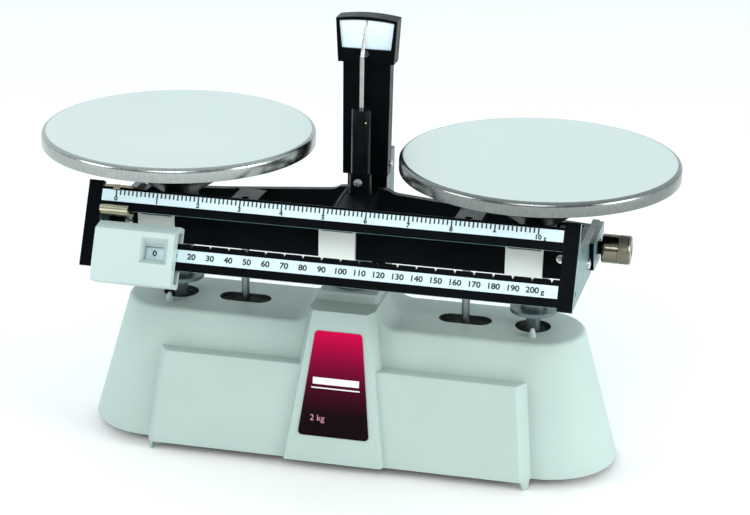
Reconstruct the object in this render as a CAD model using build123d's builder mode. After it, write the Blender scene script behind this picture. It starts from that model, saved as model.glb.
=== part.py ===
from build123d import *
import os
from math import radians, sin, cos

# Equal-arm two-pan balance with two sliding-poise scale beams.
# Units mm.  +X to the right, front is -Y, +Z up.  Origin: centre of the base on the bench,
# the tips of the four feet at z = 0.  The balance is drawn level, poises at zero.

# ---------------------------------------------------------------- driving dimensions
ARM = 101.6            # centre knife edge to pan knife edge
KNIFE_Z = 132.0        # height of all three knife edges
LINK_Z = 25.0          # height of the check link pivots inside the base
FIT = 0.05             # running clearance

BASE_BOTTOM = 6.0      # lower edge of the base casting
BASE_TOP = 79.5        # top face of the base casting
BASE_WALL = 3.0
PED_TOP = 90.0         # top of the pedestal
PAD_TOP = 95.0         # top of the pad under the pillar

STOP_X = 63.5          # stop rods, either side of the centre
STOP_ROD_R = 2.25
STOP_ROD_TOP = 137.0
POINTER_Y = 10.0       # axis of the pointer

FRONT_OUT, FRONT_IN = -42.0, -38.0    # faces of the front wall of the beam casting
BACK_IN, BACK_OUT = 19.0, 23.0        # faces of its back wall
BEAM_HALF = 129.0      # half length of the beam casting
FRAME_HALF = 133.0     # half length of the scale frame
PLATE_T = 4.0          # thickness of the frame's end plates
PLATE_SCREWS = [(-22.9, 127.5), (10, 127.5)]     # (y, z) on each end plate


# ---------------------------------------------------------------- helpers
def outline(*points, mode=Mode.ADD):
    """Polygon at its own coordinates."""
    Polygon(*points, align=None, mode=mode)


def span(x0, x1, y0, y1):
    """Rectangle given by its limits in the sketch."""
    outline((x0, y0), (x1, y0), (x1, y1), (x0, y1))


def band(length, low, high, x=0):
    """Rectangle centred on x between a lower and an upper edge."""
    with Locations((x, (low + high) / 2)):
        Rectangle(length, high - low)


def post(radius, height, mode=Mode.ADD):
    """Cylinder standing on the current location."""
    Cylinder(radius, height, align=(Align.CENTER, Align.CENTER, Align.MIN), mode=mode)


def shank(radius, length, mode=Mode.ADD):
    """Cylinder hanging below the current location."""
    Cylinder(radius, length, align=(Align.CENTER, Align.CENTER, Align.MAX), mode=mode)


def screw(head_radius, head_height, shank_radius, shank_length):
    """Screw with the underside of its head on the current location."""
    post(head_radius, head_height)
    shank(shank_radius, shank_length)


def headed_pin(radius, length, head_radius, head_thickness):
    """Pin centred on the current location, with a head at each end."""
    Cylinder(radius, length)
    head = (length + head_thickness) / 2
    with Locations((0, 0, -head), (0, 0, head)):
        Cylinder(head_radius, head_thickness)


def drill(radius, length):
    """Hole centred on the current location."""
    Cylinder(radius, length, mode=Mode.SUBTRACT)


def along_x(x, y, z, direction=1):
    return Plane(origin=(x, y, z), x_dir=(0, 1, 0), z_dir=(direction, 0, 0))


def along_y(x, y, z, direction=1):
    return Plane(origin=(x, y, z), x_dir=(1, 0, 0), z_dir=(0, direction, 0))


def front_view(y):
    """X-Z sketch plane at y; a positive extrusion goes forward, to -Y."""
    return Plane.XZ.offset(-y)


def at_height(points, z):
    return [(x, y, z) for x, y in points]


def save(builder, name):
    builder.part.label = name
    export_step(builder.part, "parts/" + name + ".step")


os.makedirs("parts", exist_ok=True)

# ---------------------------------------------------------------- plane of the scale beams
# local x = X, local y = s (up the slope), normal = off (towards the front)
SLOPE_Y, SLOPE_Z = 0.4417, 0.8971
FRAME_Y, FRAME_Z = -80.7, 121.4       # lower front corner of the frame
OFF_DIR = (0, -SLOPE_Z, SLOPE_Y)
UP_DIR = (0, SLOPE_Y, SLOPE_Z)
FRAME = Plane(origin=(0, FRAME_Y, FRAME_Z), x_dir=(1, 0, 0), z_dir=OFF_DIR)


def profile_plane(x_right):
    """Section across the scale beams: local x = off, local y = s, extrudes towards -X."""
    return Plane(origin=(x_right, FRAME_Y, FRAME_Z), x_dir=OFF_DIR, z_dir=(-1, 0, 0))


def frame_point(x, off, s):
    return (x, FRAME_Y + SLOPE_Y * s - SLOPE_Z * off, FRAME_Z + SLOPE_Z * s + SLOPE_Y * off)


def up_slope(off, s):
    """Plane square to the slope, facing up it."""
    return Plane(origin=frame_point(0, off, s), x_dir=(1, 0, 0), z_dir=UP_DIR)


# ================================================================ base casting
R_BOTTOM, C_BOTTOM = 40.4, 111.0      # base outline at the bottom: end radius, end centre
R_TOP, C_TOP = 26.6, 104.0            # base outline at the top
RADIUS_DRAFT = (R_BOTTOM - R_TOP) / (BASE_TOP - BASE_BOTTOM)
CENTRE_DRAFT = (C_BOTTOM - C_TOP) / (BASE_TOP - BASE_BOTTOM)

STEM_HOLE_D = 20.0                    # holes for the pan stems
SLOT_L, SLOT_W = 30.0, 14.0           # slots for the stop rods
COVER_SCREWS = [(82, 20), (-82, 20), (82, -20), (-82, -20)]
BOSS_Z = 8.6                          # lower end of the cover screw bosses
BRACKET_SCREWS = [(7.5, 30.0), (-7.5, 30.0)]     # mast bracket screws in the pedestal top
PIP_X, PIP_Y = 103.7, -15.6           # cast pips beside the stem holes

FLARE_R = 11.0                        # fillet-like flare from the top up to the pedestal
FLARE_X = 18.55 + FLARE_R * 0.989     # where the flare leaves the top face
FLARE_ANGLE = 81.5                    # arc of the flare, degrees

PANEL_TOP = 58.5                      # raised panels on the front and the back
PANEL_INNER = 16                      # their buried inner side
PANEL_CUT_X, PANEL_CUT_Y = 5, 7.8     # cut corners

# (x, y) of the right front foot
FOOT_ROOT = [(104.8, -47.2), (105.3, -47.2), (109.4, -40.9), (109.4, -38.5), (104.8, -38.5)]
FOOT_TIP = [(106.2, -44.7), (106.9, -44.7), (108.6, -42.3), (108.6, -41.5), (106.2, -41.5)]


def base_outline(z, inset=0):
    """Drafted base outline at height z."""
    rise = z - BASE_BOTTOM
    centre = C_BOTTOM - CENTRE_DRAFT * rise
    radius = R_BOTTOM - RADIUS_DRAFT * rise
    SlotCenterToCenter(2 * centre, 2 * (radius - inset))


def pedestal_outline(half_x, corner_y, corner_x, half_y):
    """Rectangle with cut corners, centred on the origin."""
    outline((half_x, -corner_y), (corner_x, -half_y), (-corner_x, -half_y),
            (-half_x, -corner_y), (-half_x, corner_y), (-corner_x, half_y),
            (corner_x, half_y), (half_x, corner_y))


def panel_outline(side, half_x, face_y):
    """Panel section: side 1 for the front, -1 for the back."""
    corner_x, corner_y = half_x - PANEL_CUT_X, face_y - PANEL_CUT_Y
    outline((-half_x, -corner_y * side), (-corner_x, -face_y * side),
            (corner_x, -face_y * side), (half_x, -corner_y * side),
            (half_x, -PANEL_INNER * side), (-half_x, -PANEL_INNER * side))


def foot_outline(points, end, side):
    outline(*[(end * x, side * y) for x, y in points])


def flare_point(angle):
    return (FLARE_X - FLARE_R * sin(radians(angle)),
            BASE_TOP + FLARE_R * (1 - cos(radians(angle))))


def raised_panel(side):
    with BuildPart() as panel:
        with BuildSketch(Plane.XY.offset(BASE_BOTTOM)):
            panel_outline(side, half_x=110, face_y=47.9)
        with BuildSketch(Plane.XY.offset(PANEL_TOP)):
            panel_outline(side, half_x=104.1, face_y=38.4)
        loft(ruled=True)
        outer_edges = [edge for edge in panel.edges()
                       if abs(edge.center().Y) > 33.5 and edge.center().Z > BASE_BOTTOM + 1]
        fillet(outer_edges, 1.0)
    return panel.part


# drafted envelope, carried up past the top so that the pedestal flare can be trimmed to it
with BuildPart() as envelope:
    with BuildSketch(Plane.XY.offset(BASE_BOTTOM)):
        base_outline(BASE_BOTTOM)
    with BuildSketch(Plane.XY.offset(PAD_TOP)):
        base_outline(PAD_TOP)
    loft(ruled=True)

with BuildPart() as flare:
    flare_end = flare_point(FLARE_ANGLE)
    with BuildSketch(Plane.XZ):
        with BuildLine():
            Polyline((0, 70), (FLARE_X, 70), (FLARE_X, BASE_TOP))
            ThreePointArc((FLARE_X, BASE_TOP), flare_point(45), flare_end)
            Polyline(flare_end, (0, flare_end[1]), (0, 70))
        make_face()
        mirror(about=Plane.YZ)
    extrude(amount=40, both=True)
    add(envelope.part, mode=Mode.INTERSECT)

panels = [raised_panel(side) for side in (1, -1)]

with BuildPart() as base_shell:
    with BuildSketch(Plane.XY.offset(BASE_BOTTOM)):
        base_outline(BASE_BOTTOM)
    with BuildSketch(Plane.XY.offset(BASE_TOP)):
        base_outline(BASE_TOP)
    loft(ruled=True)
    add(flare.part)
    # soft edge around the top, following the flare up to the pedestal
    top_edges = [edge for edge in base_shell.edges()
                 if edge.center().Z > BASE_TOP - 0.2 and abs(edge.center().Y) > 8
                 and not (abs(edge.center().X) < FLARE_X - 0.5
                          and edge.center().Z > BASE_TOP + 10)
                 and not abs(abs(edge.center().X) - FLARE_X) < 0.01]
    fillet(top_edges, 3.0)
    # pedestal: front and back faces spread out towards the bench
    with BuildSketch(Plane.XY.offset(BASE_BOTTOM)):
        pedestal_outline(31, 43.2, 27.3, 50.6)
    with BuildSketch(Plane.XY.offset(PED_TOP)):
        pedestal_outline(18.5, 28.4, 15.2, 35)
    loft(ruled=True)
    # raised pad for the pillar
    with BuildSketch(Plane.XY.offset(PED_TOP)):
        RectangleRounded(34, 35, 2.2)
    extrude(amount=PAD_TOP - PED_TOP)
    pad_top = [edge for edge in base_shell.edges() if edge.center().Z > PAD_TOP - 0.1]
    fillet(pad_top, 1.3)
    pad_foot = [edge for edge in base_shell.edges()
                if abs(edge.center().Z - PED_TOP) < 0.01
                and abs(edge.center().Y) < 17.6 and abs(edge.center().X) < 17.1]
    fillet(pad_foot, 1.2)
    for panel in panels:
        add(panel)
    # pointed feet under the corners of the panels
    for side in (1, -1):
        for end in (1, -1):
            with BuildSketch(Plane.XY.offset(BASE_BOTTOM + 0.6)):
                foot_outline(FOOT_ROOT, end, side)
            with BuildSketch(Plane.XY):
                foot_outline(FOOT_TIP, end, side)
            loft(ruled=True)
    # hollow of the body, open underneath
    with BuildSketch(Plane.XY.offset(BASE_BOTTOM)):
        base_outline(BASE_BOTTOM, inset=BASE_WALL)
    with BuildSketch(Plane.XY.offset(BASE_TOP - BASE_WALL)):
        base_outline(BASE_TOP - BASE_WALL, inset=BASE_WALL)
    loft(ruled=True, mode=Mode.SUBTRACT)
    # hollow of the pedestal
    with BuildSketch(Plane.XY.offset(BASE_BOTTOM)):
        pedestal_outline(27.8, 45.5, 26, 47.5)
    with BuildSketch(Plane.XY.offset(PED_TOP - 4)):
        pedestal_outline(15.7, 30.5, 14.2, 32.5)
    loft(ruled=True, mode=Mode.SUBTRACT)
    # hollows behind the panels
    for side in (1, -1):
        with BuildSketch(Plane.YZ.offset(-94)):
            outline((-10 * side, BASE_BOTTOM), (-44.8 * side, BASE_BOTTOM),
                    (-35.5 * side, 55.5), (-10 * side, 55.5))
        extrude(amount=188, mode=Mode.SUBTRACT)
    # bosses for the bottom cover screws
    with BuildSketch(Plane.XY.offset(BOSS_Z)):
        with Locations(*COVER_SCREWS):
            Circle(4.5)
    extrude(amount=69)
    with BuildSketch(Plane.XY.offset(BOSS_Z)):
        with Locations(*COVER_SCREWS):
            Circle(2.05)
    extrude(amount=12, mode=Mode.SUBTRACT)
    # stem holes and stop rod slots
    with BuildSketch(Plane.XY.offset(60)):
        with Locations((ARM, 0), (-ARM, 0)):
            Circle(STEM_HOLE_D / 2)
        with Locations((STOP_X, 0), (-STOP_X, 0)):
            SlotOverall(SLOT_L, SLOT_W)
    extrude(amount=25, mode=Mode.SUBTRACT)
    # pillar bolt hole
    with BuildSketch(Plane.XY.offset(80)):
        Circle(3.1)
    extrude(amount=20, mode=Mode.SUBTRACT)
    # holes for the mast bracket screws
    with BuildSketch(Plane.XY.offset(80)):
        with Locations(*BRACKET_SCREWS):
            Circle(1.55)
    extrude(amount=12, mode=Mode.SUBTRACT)
    with Locations((PIP_X, PIP_Y, BASE_TOP - 0.2), (-PIP_X, PIP_Y, BASE_TOP - 0.2)):
        Cone(2.3, 0.9, 5.0, align=(Align.CENTER, Align.CENTER, Align.MIN))
save(base_shell, "base_shell")

# ---------------------------------------------------------------- bottom cover
COVER_Z, COVER_T = 6.5, 2.0
COVER_TOP = COVER_Z + COVER_T
LINK_SCREWS = [(0, 18), (0, -18)]     # screws of the check link bracket
COVER_HEAD_H = 2.2

with BuildPart() as bottom_cover:
    with BuildSketch(Plane.XY.offset(COVER_Z)):
        SlotCenterToCenter(2 * C_BOTTOM, 2 * 36.5)
        Rectangle(186, 86)
        Rectangle(51, 91)
    extrude(amount=COVER_T)
    with Locations(*at_height(COVER_SCREWS, COVER_TOP)):
        Hole(2.2, depth=COVER_T)
    with Locations(*at_height(LINK_SCREWS, COVER_TOP)):
        Hole(1.6, depth=COVER_T)
save(bottom_cover, "bottom_cover")

with BuildPart() as cover_screws:
    with Locations(*at_height(COVER_SCREWS, COVER_Z - COVER_HEAD_H)):
        post(3.6, COVER_HEAD_H)
    with Locations(*at_height(COVER_SCREWS, COVER_Z - 0.1)):
        post(2.0, 12)
    # driver slots, cut from below
    with Locations(*at_height(COVER_SCREWS, COVER_Z - COVER_HEAD_H)):
        Box(5.0, 0.9, 1.2, align=(Align.CENTER, Align.CENTER, Align.MIN), mode=Mode.SUBTRACT)
save(cover_screws, "cover_screws")

# ---------------------------------------------------------------- plate on the pedestal front
LABEL_Z = 50                          # height of the sketch origin on the sloping face
PED_RUN, PED_RISE = 50.6 - 35.0, PED_TOP - BASE_BOTTOM    # slope of the pedestal front

with BuildPart() as pedestal_label:
    label_plane = Plane(origin=(0, -35.0 - PED_RUN / PED_RISE * (PED_TOP - LABEL_Z), LABEL_Z),
                        x_dir=(1, 0, 0), z_dir=(0, -PED_RISE, PED_RUN))
    with BuildSketch(label_plane) as label_sketch:
        outline((-13.2, 29.8), (13.2, 29.8), (20.2, -29.7), (-20.2, -29.7))
        fillet(label_sketch.vertices(), 2.2)
    extrude(amount=0.45)
save(pedestal_label, "pedestal_label")

# ---------------------------------------------------------------- centre pillar
PILLAR_FOOT_H = 3
# (y, z) of the cross arm, with an upstand for each bearing
CROSS_ARM = [(-35, 116), (-35, 124), (-34.2, 126), (-25.8, 126), (-24.5, 124), (7.0, 124),
             (7.8, 126), (16.2, 126), (17, 124), (17, 116), (9, 110), (-9, 110)]

with BuildPart() as centre_pillar:
    with BuildSketch(Plane.XY.offset(PAD_TOP)):
        Circle(13.2)
    extrude(amount=PILLAR_FOOT_H)
    with BuildSketch(Plane.XY.offset(PAD_TOP + PILLAR_FOOT_H)):
        Circle(9.3)
    extrude(amount=15)
    fillet(centre_pillar.edges().filter_by(GeomType.CIRCLE)
           .filter_by_position(Axis.Z, 97.9, 98.1), 1.0)
    with BuildSketch(Plane.YZ.offset(-5)):
        outline(*CROSS_ARM)
    extrude(amount=10)
    with Locations((0, 0, PAD_TOP)):
        post(2.6, 22, mode=Mode.SUBTRACT)
save(centre_pillar, "centre_pillar")

with BuildPart() as pillar_bolt:
    with BuildSketch(Plane.XY.offset(82.4)):
        RegularPolygon(5.5, 6)
    extrude(amount=3.6)
    with BuildSketch(Plane.XY.offset(85.9)):
        Circle(2.5)
    extrude(amount=26)
save(pillar_bolt, "pillar_bolt")

# ---------------------------------------------------------------- knives and bearing blocks
COS30, TAN30 = 0.866, 0.577           # the knives are 60 degree wedges, the grooves 120 degrees
KNIFE_FRONT, KNIFE_BACK = -41.5, 22.5
KNIFE_R = 0.3                         # radius of the honed edge
KNIFE_HALF = 2.5                      # half width of a knife
KNIFE_SHOULDER = (KNIFE_HALF - KNIFE_R * COS30) / TAN30 - KNIFE_R * 0.5
CENTRE_KNIFE = (1, 6.4)               # body above (1) or below (-1) the edge, body height
END_KNIFE = (-1, 6.0)

BEARING_Y = (-30.0, 12.0)             # centres of the bearing blocks
BEARING_L = 8.0
BEARING_HALF = 4.4                    # half width of a block
GROOVE_DEPTH = (KNIFE_R + FIT) / COS30     # root of a groove from the pivot line
PILLAR_SEAT = 126                     # where the blocks sit on the pillar
YOKE_SEAT = 134                       # where the blocks hang from the pan supports


def knife_section(body_side, body_height):
    """Wedge with a honed round edge, centred on the pivot line."""
    tip_x, tip_z = KNIFE_R * COS30, KNIFE_Z - body_side * KNIFE_R * 0.5
    shoulder_z = KNIFE_Z + body_side * KNIFE_SHOULDER
    end_z = KNIFE_Z + body_side * body_height
    outline((-tip_x, tip_z), (-KNIFE_HALF, shoulder_z), (-KNIFE_HALF, end_z),
            (KNIFE_HALF, end_z), (KNIFE_HALF, shoulder_z), (tip_x, tip_z))
    with Locations((0, KNIFE_Z)):
        Circle(KNIFE_R)


def knife(x, kind):
    with BuildPart() as part:
        with BuildSketch(front_view(KNIFE_BACK)):
            with Locations((x, 0)):
                knife_section(*kind)
        extrude(amount=KNIFE_BACK - KNIFE_FRONT)
    return part


def bearing_blocks(x, opening, seat_z):
    """Pair of grooved blocks, groove opening upwards (1) or downwards (-1)."""
    root_z = KNIFE_Z - opening * GROOVE_DEPTH
    lip_z = root_z + opening * BEARING_HALF * TAN30
    with BuildPart() as blocks:
        for y in BEARING_Y:
            with BuildSketch(front_view(y + BEARING_L / 2)):
                with Locations((x, 0)):
                    outline((-BEARING_HALF, seat_z), (BEARING_HALF, seat_z),
                            (BEARING_HALF, lip_z), (0, root_z), (-BEARING_HALF, lip_z))
            extrude(amount=BEARING_L)
    return blocks


save(bearing_blocks(0, 1, PILLAR_SEAT), "centre_bearings")
save(knife(0, CENTRE_KNIFE), "centre_knife")
save(knife(-ARM, END_KNIFE), "left_knife")
save(knife(ARM, END_KNIFE), "right_knife")

# ---------------------------------------------------------------- mast behind the beam
BRACKET_W, BRACKET_D, BRACKET_H = 22.8, 20, 72
BRACKET_Y = 26                        # front face of the bracket
BRACKET_WALL = 2
BRACKET_FLOOR = 3
MAST_JOINT_Y, MAST_JOINT_Z = 28.9, 157     # side screws joining mast and bracket

with BuildPart() as mast_bracket:
    # channel, open to the rear
    with BuildSketch(Plane.XY.offset(PED_TOP)):
        with Locations((0, BRACKET_Y)):
            Rectangle(BRACKET_W, BRACKET_D, align=(Align.CENTER, Align.MIN))
    extrude(amount=BRACKET_H)
    fillet(mast_bracket.edges().filter_by(Axis.Z).group_by(Axis.Y)[0], 1.5)
    with BuildSketch(Plane.XY.offset(PED_TOP + BRACKET_FLOOR)):
        with Locations((0, BRACKET_Y + BRACKET_WALL)):
            Rectangle(BRACKET_W - 2 * BRACKET_WALL, BRACKET_D, align=(Align.CENTER, Align.MIN))
    extrude(amount=BRACKET_H - BRACKET_FLOOR - BRACKET_WALL, mode=Mode.SUBTRACT)
    # rear tab following the back of the pedestal
    with BuildSketch(Plane.YZ.offset(-9)):
        outline((35.1, PED_TOP), (38.1, 73.8), (41.0, 74.3), (38.2, PED_TOP + 0.5),
                (36, PED_TOP + 0.5))
    extrude(amount=18)
    with Locations(*at_height(BRACKET_SCREWS, PED_TOP + BRACKET_FLOOR)):
        Hole(1.6, depth=BRACKET_FLOOR)
    with Locations(along_x(0, MAST_JOINT_Y, MAST_JOINT_Z)):
        drill(1.25, 40)
save(mast_bracket, "mast_bracket")

with BuildPart() as bracket_screws:
    with Locations(*at_height(BRACKET_SCREWS, PED_TOP + BRACKET_FLOOR)):
        post(1.85, 1.6)
    with Locations(*at_height(BRACKET_SCREWS, PED_TOP - 7)):
        post(1.5, 10.1)
save(bracket_screws, "bracket_screws")

MAST_T = 1.2
MAST_Y = 21.3                         # front face of the mast
MAST_HALF_LOW, MAST_HALF_HIGH = 12.8, 13.4      # half widths at the bottom and the top
TONGUE_W, TONGUE_H, TONGUE_Z = 16, 12, 216      # tongue that carries the dial
RIVET_Z = 222.2
RIVET_HOLE_R = 1.25

with BuildPart() as pointer_mast:
    with BuildSketch(front_view(MAST_Y)):
        outline((-MAST_HALF_LOW, 151.6), (MAST_HALF_LOW, 151.6),
                (MAST_HALF_HIGH, 216.6), (-MAST_HALF_HIGH, 216.6))
    extrude(amount=-8.7)
    with BuildSketch(front_view(MAST_Y + MAST_T)):
        outline((-MAST_HALF_LOW + MAST_T, 150), (MAST_HALF_LOW - MAST_T, 150),
                (MAST_HALF_HIGH - MAST_T, 218), (-MAST_HALF_HIGH + MAST_T, 218))
    extrude(amount=-9, mode=Mode.SUBTRACT)
    with BuildSketch(front_view(MAST_Y)):
        with Locations((0, TONGUE_Z)):
            Rectangle(TONGUE_W, TONGUE_H, align=(Align.CENTER, Align.MIN))
    extrude(amount=-MAST_T)
    with Locations(along_y(0, MAST_Y + MAST_T / 2, RIVET_Z)):
        drill(RIVET_HOLE_R, 4)
    with Locations(along_x(0, MAST_JOINT_Y, MAST_JOINT_Z)):
        drill(1.25, 40)
save(pointer_mast, "pointer_mast")

with BuildPart() as mast_screws:
    for end in (1, -1):
        with Locations(along_x(end * 12.92, MAST_JOINT_Y, MAST_JOINT_Z, end)):
            screw(1.9, 1.3, 1.2, 4.0)
save(mast_screws, "mast_screws")

# ---------------------------------------------------------------- pointer dial
DIAL_FRONT, DIAL_BACK = 19.0, 30.0
DIAL_RECESS = 1.9                     # depth of the window in the front
DIAL_FACE_T = 0.8
RIVET_L = 3.5
# half width and height of the shoulders, half width and height of the bottom, crown height
HOUSING_OUTLINE = (17.2, 241.3, 15.8, 216.8, 242.9)
WINDOW_OUTLINE = (15.5, 239.9, 13.85, 224.6, 241.0)
FACE_OUTLINE = (15.4, 239.8, 13.8, 224.7, 240.9)


def dial_lines(half_top, shoulder_z, half_bottom, bottom_z, crown_z):
    """Tapered outline with a bowed top."""
    left, right = (-half_top, shoulder_z), (half_top, shoulder_z)
    Polyline(left, (-half_bottom, bottom_z), (half_bottom, bottom_z), right)
    ThreePointArc(right, (0, crown_z), left)


with BuildPart() as dial_housing:
    with BuildSketch(front_view(DIAL_FRONT)):
        with BuildLine():
            dial_lines(*HOUSING_OUTLINE)
        make_face()
    extrude(amount=-(DIAL_BACK - DIAL_FRONT))
    # hollow back
    with BuildSketch(front_view(DIAL_FRONT + 4.6)):
        outline((-15.4, 239.6), (-14.2, 219.0), (14.2, 219.0), (15.4, 239.6))
    extrude(amount=-10, mode=Mode.SUBTRACT)
    # window recess for the dial face
    with BuildSketch(front_view(DIAL_FRONT)):
        with BuildLine():
            dial_lines(*WINDOW_OUTLINE)
        make_face()
    extrude(amount=-DIAL_RECESS, mode=Mode.SUBTRACT)
    # slot for the tongue of the mast, and the rivet hole
    with BuildSketch(front_view(MAST_Y - FIT)):
        with Locations((0, TONGUE_Z)):
            Rectangle(TONGUE_W + 2 * FIT, TONGUE_H + 2 * FIT, align=(Align.CENTER, Align.MIN))
    extrude(amount=-9, mode=Mode.SUBTRACT)
    with Locations(along_y(0, DIAL_FRONT, RIVET_Z)):
        drill(RIVET_HOLE_R, 12)
save(dial_housing, "dial_housing")

with BuildPart() as dial_face:
    with BuildSketch(front_view(DIAL_FRONT + DIAL_RECESS - DIAL_FACE_T)):
        with BuildLine():
            dial_lines(*FACE_OUTLINE)
        make_face()
    extrude(amount=-DIAL_FACE_T)
save(dial_face, "dial_face")

with BuildPart() as dial_rivet:
    with Locations(along_y(0, DIAL_FRONT, RIVET_Z, -1)):
        screw(1.9, 0.7, 1.2, RIVET_L)
    with Locations(along_y(0, DIAL_FRONT + RIVET_L, RIVET_Z)):
        post(1.9, 0.8)
save(dial_rivet, "dial_rivet")

# ================================================================ check link inside the base
LINK_PIN_R = 2.0
LINK_W = 10.0                         # width of the link, front to back
LINK_FOOT_TOP = COVER_TOP + 2         # top of the bracket's foot
EAR_IN, EAR_OUT, EAR_TOP = 8.2, 10.2, 31    # ears of the bracket
LINK_FOOT_HALF = 22
# (x, height above the pivots) of the link
LINK_OUTLINE = [(-107.5, -3.5), (-107.5, 3.5), (-8, 5), (8, 5),
                (107.5, 3.5), (107.5, -3.5), (8, -5), (-8, -5)]

with BuildPart() as link_bracket:
    with BuildSketch(Plane.YZ.offset(-7)):
        outline((-LINK_FOOT_HALF, COVER_TOP), (LINK_FOOT_HALF, COVER_TOP),
                (LINK_FOOT_HALF, LINK_FOOT_TOP), (EAR_OUT, LINK_FOOT_TOP), (EAR_OUT, EAR_TOP),
                (EAR_IN, EAR_TOP), (EAR_IN, LINK_FOOT_TOP), (-EAR_IN, LINK_FOOT_TOP),
                (-EAR_IN, EAR_TOP), (-EAR_OUT, EAR_TOP), (-EAR_OUT, LINK_FOOT_TOP),
                (-LINK_FOOT_HALF, LINK_FOOT_TOP))
    extrude(amount=14)
    with Locations(along_y(0, 0, LINK_Z)):
        drill(LINK_PIN_R, 40)
    with Locations(*at_height(LINK_SCREWS, LINK_FOOT_TOP)):
        Hole(1.6, depth=2)
save(link_bracket, "link_bracket")

with BuildPart() as link_bracket_screws:
    with Locations(*at_height(LINK_SCREWS, LINK_FOOT_TOP)):
        post(2.8, 1.8)
    with Locations(*at_height(LINK_SCREWS, 6.6)):
        post(1.5, 4.0)
save(link_bracket_screws, "link_bracket_screws")

with BuildPart() as link_pivot_pin:
    with Locations(along_y(0, 0, LINK_Z)):
        headed_pin(LINK_PIN_R, 2 * EAR_OUT, head_radius=2.9, head_thickness=2.4)
save(link_pivot_pin, "link_pivot_pin")

with BuildPart() as check_link:
    with BuildSketch(front_view(-LINK_W / 2)):
        outline(*[(x, LINK_Z + height) for x, height in LINK_OUTLINE])
    extrude(amount=-LINK_W)
    # forks at the ends
    with BuildSketch(Plane.XY.offset(LINK_Z - 10)):
        with Locations((103.5, 0), (-103.5, 0)):
            Rectangle(22, 4.4)
    extrude(amount=20, mode=Mode.SUBTRACT)
    # lightening windows
    with BuildSketch(Plane.XY.offset(LINK_Z - 10)):
        with Locations((48, 0), (-48, 0)):
            SlotOverall(62, 4.4)
    extrude(amount=20, mode=Mode.SUBTRACT)
    with Locations(along_y(ARM, 0, LINK_Z), along_y(-ARM, 0, LINK_Z)):
        drill(LINK_PIN_R, 20)
    with Locations(along_y(0, 0, LINK_Z)):
        drill(LINK_PIN_R + FIT, 20)
# the link lies centred between the ears of the bracket
save(check_link, "check_link")

with BuildPart() as link_end_pins:
    for end in (1, -1):
        with Locations(along_y(end * ARM, 0, LINK_Z)):
            headed_pin(LINK_PIN_R, LINK_W, head_radius=2.8, head_thickness=1.2)
save(link_end_pins, "link_end_pins")

# ================================================================ beam casting
FRONT_BOTTOM, FRONT_TOP = 124.5, 141  # front wall
BACK_BOTTOM, BACK_END_TOP = 120, 134.0     # back wall, deeper and rising to the middle
JOIN_FRONT, JOIN_BACK = FRONT_IN - 1, BACK_IN + 1    # cross walls run 1 mm into both walls
END_WALL = 4
WEB_HALF = 7.5                        # half width of the webs that carry the stop rods
WEB_CORNER = 4                        # rounded corner between web and back wall
DECK_HALF = 9.6                       # half width of the deck over the centre knife
RIB_W = 1.6
BOSS_R, BOSS_TOP = 6.1, 156           # pointer boss
POINTER_SCREW_Y, POINTER_SCREW_Z = 4.4, 152.3
RIGHT_BLOCK_SCREW = (121, 136.2)      # (x, z) of the screws through the front wall
LEFT_BLOCK_SCREW = (-117.6, 135.2)

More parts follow.
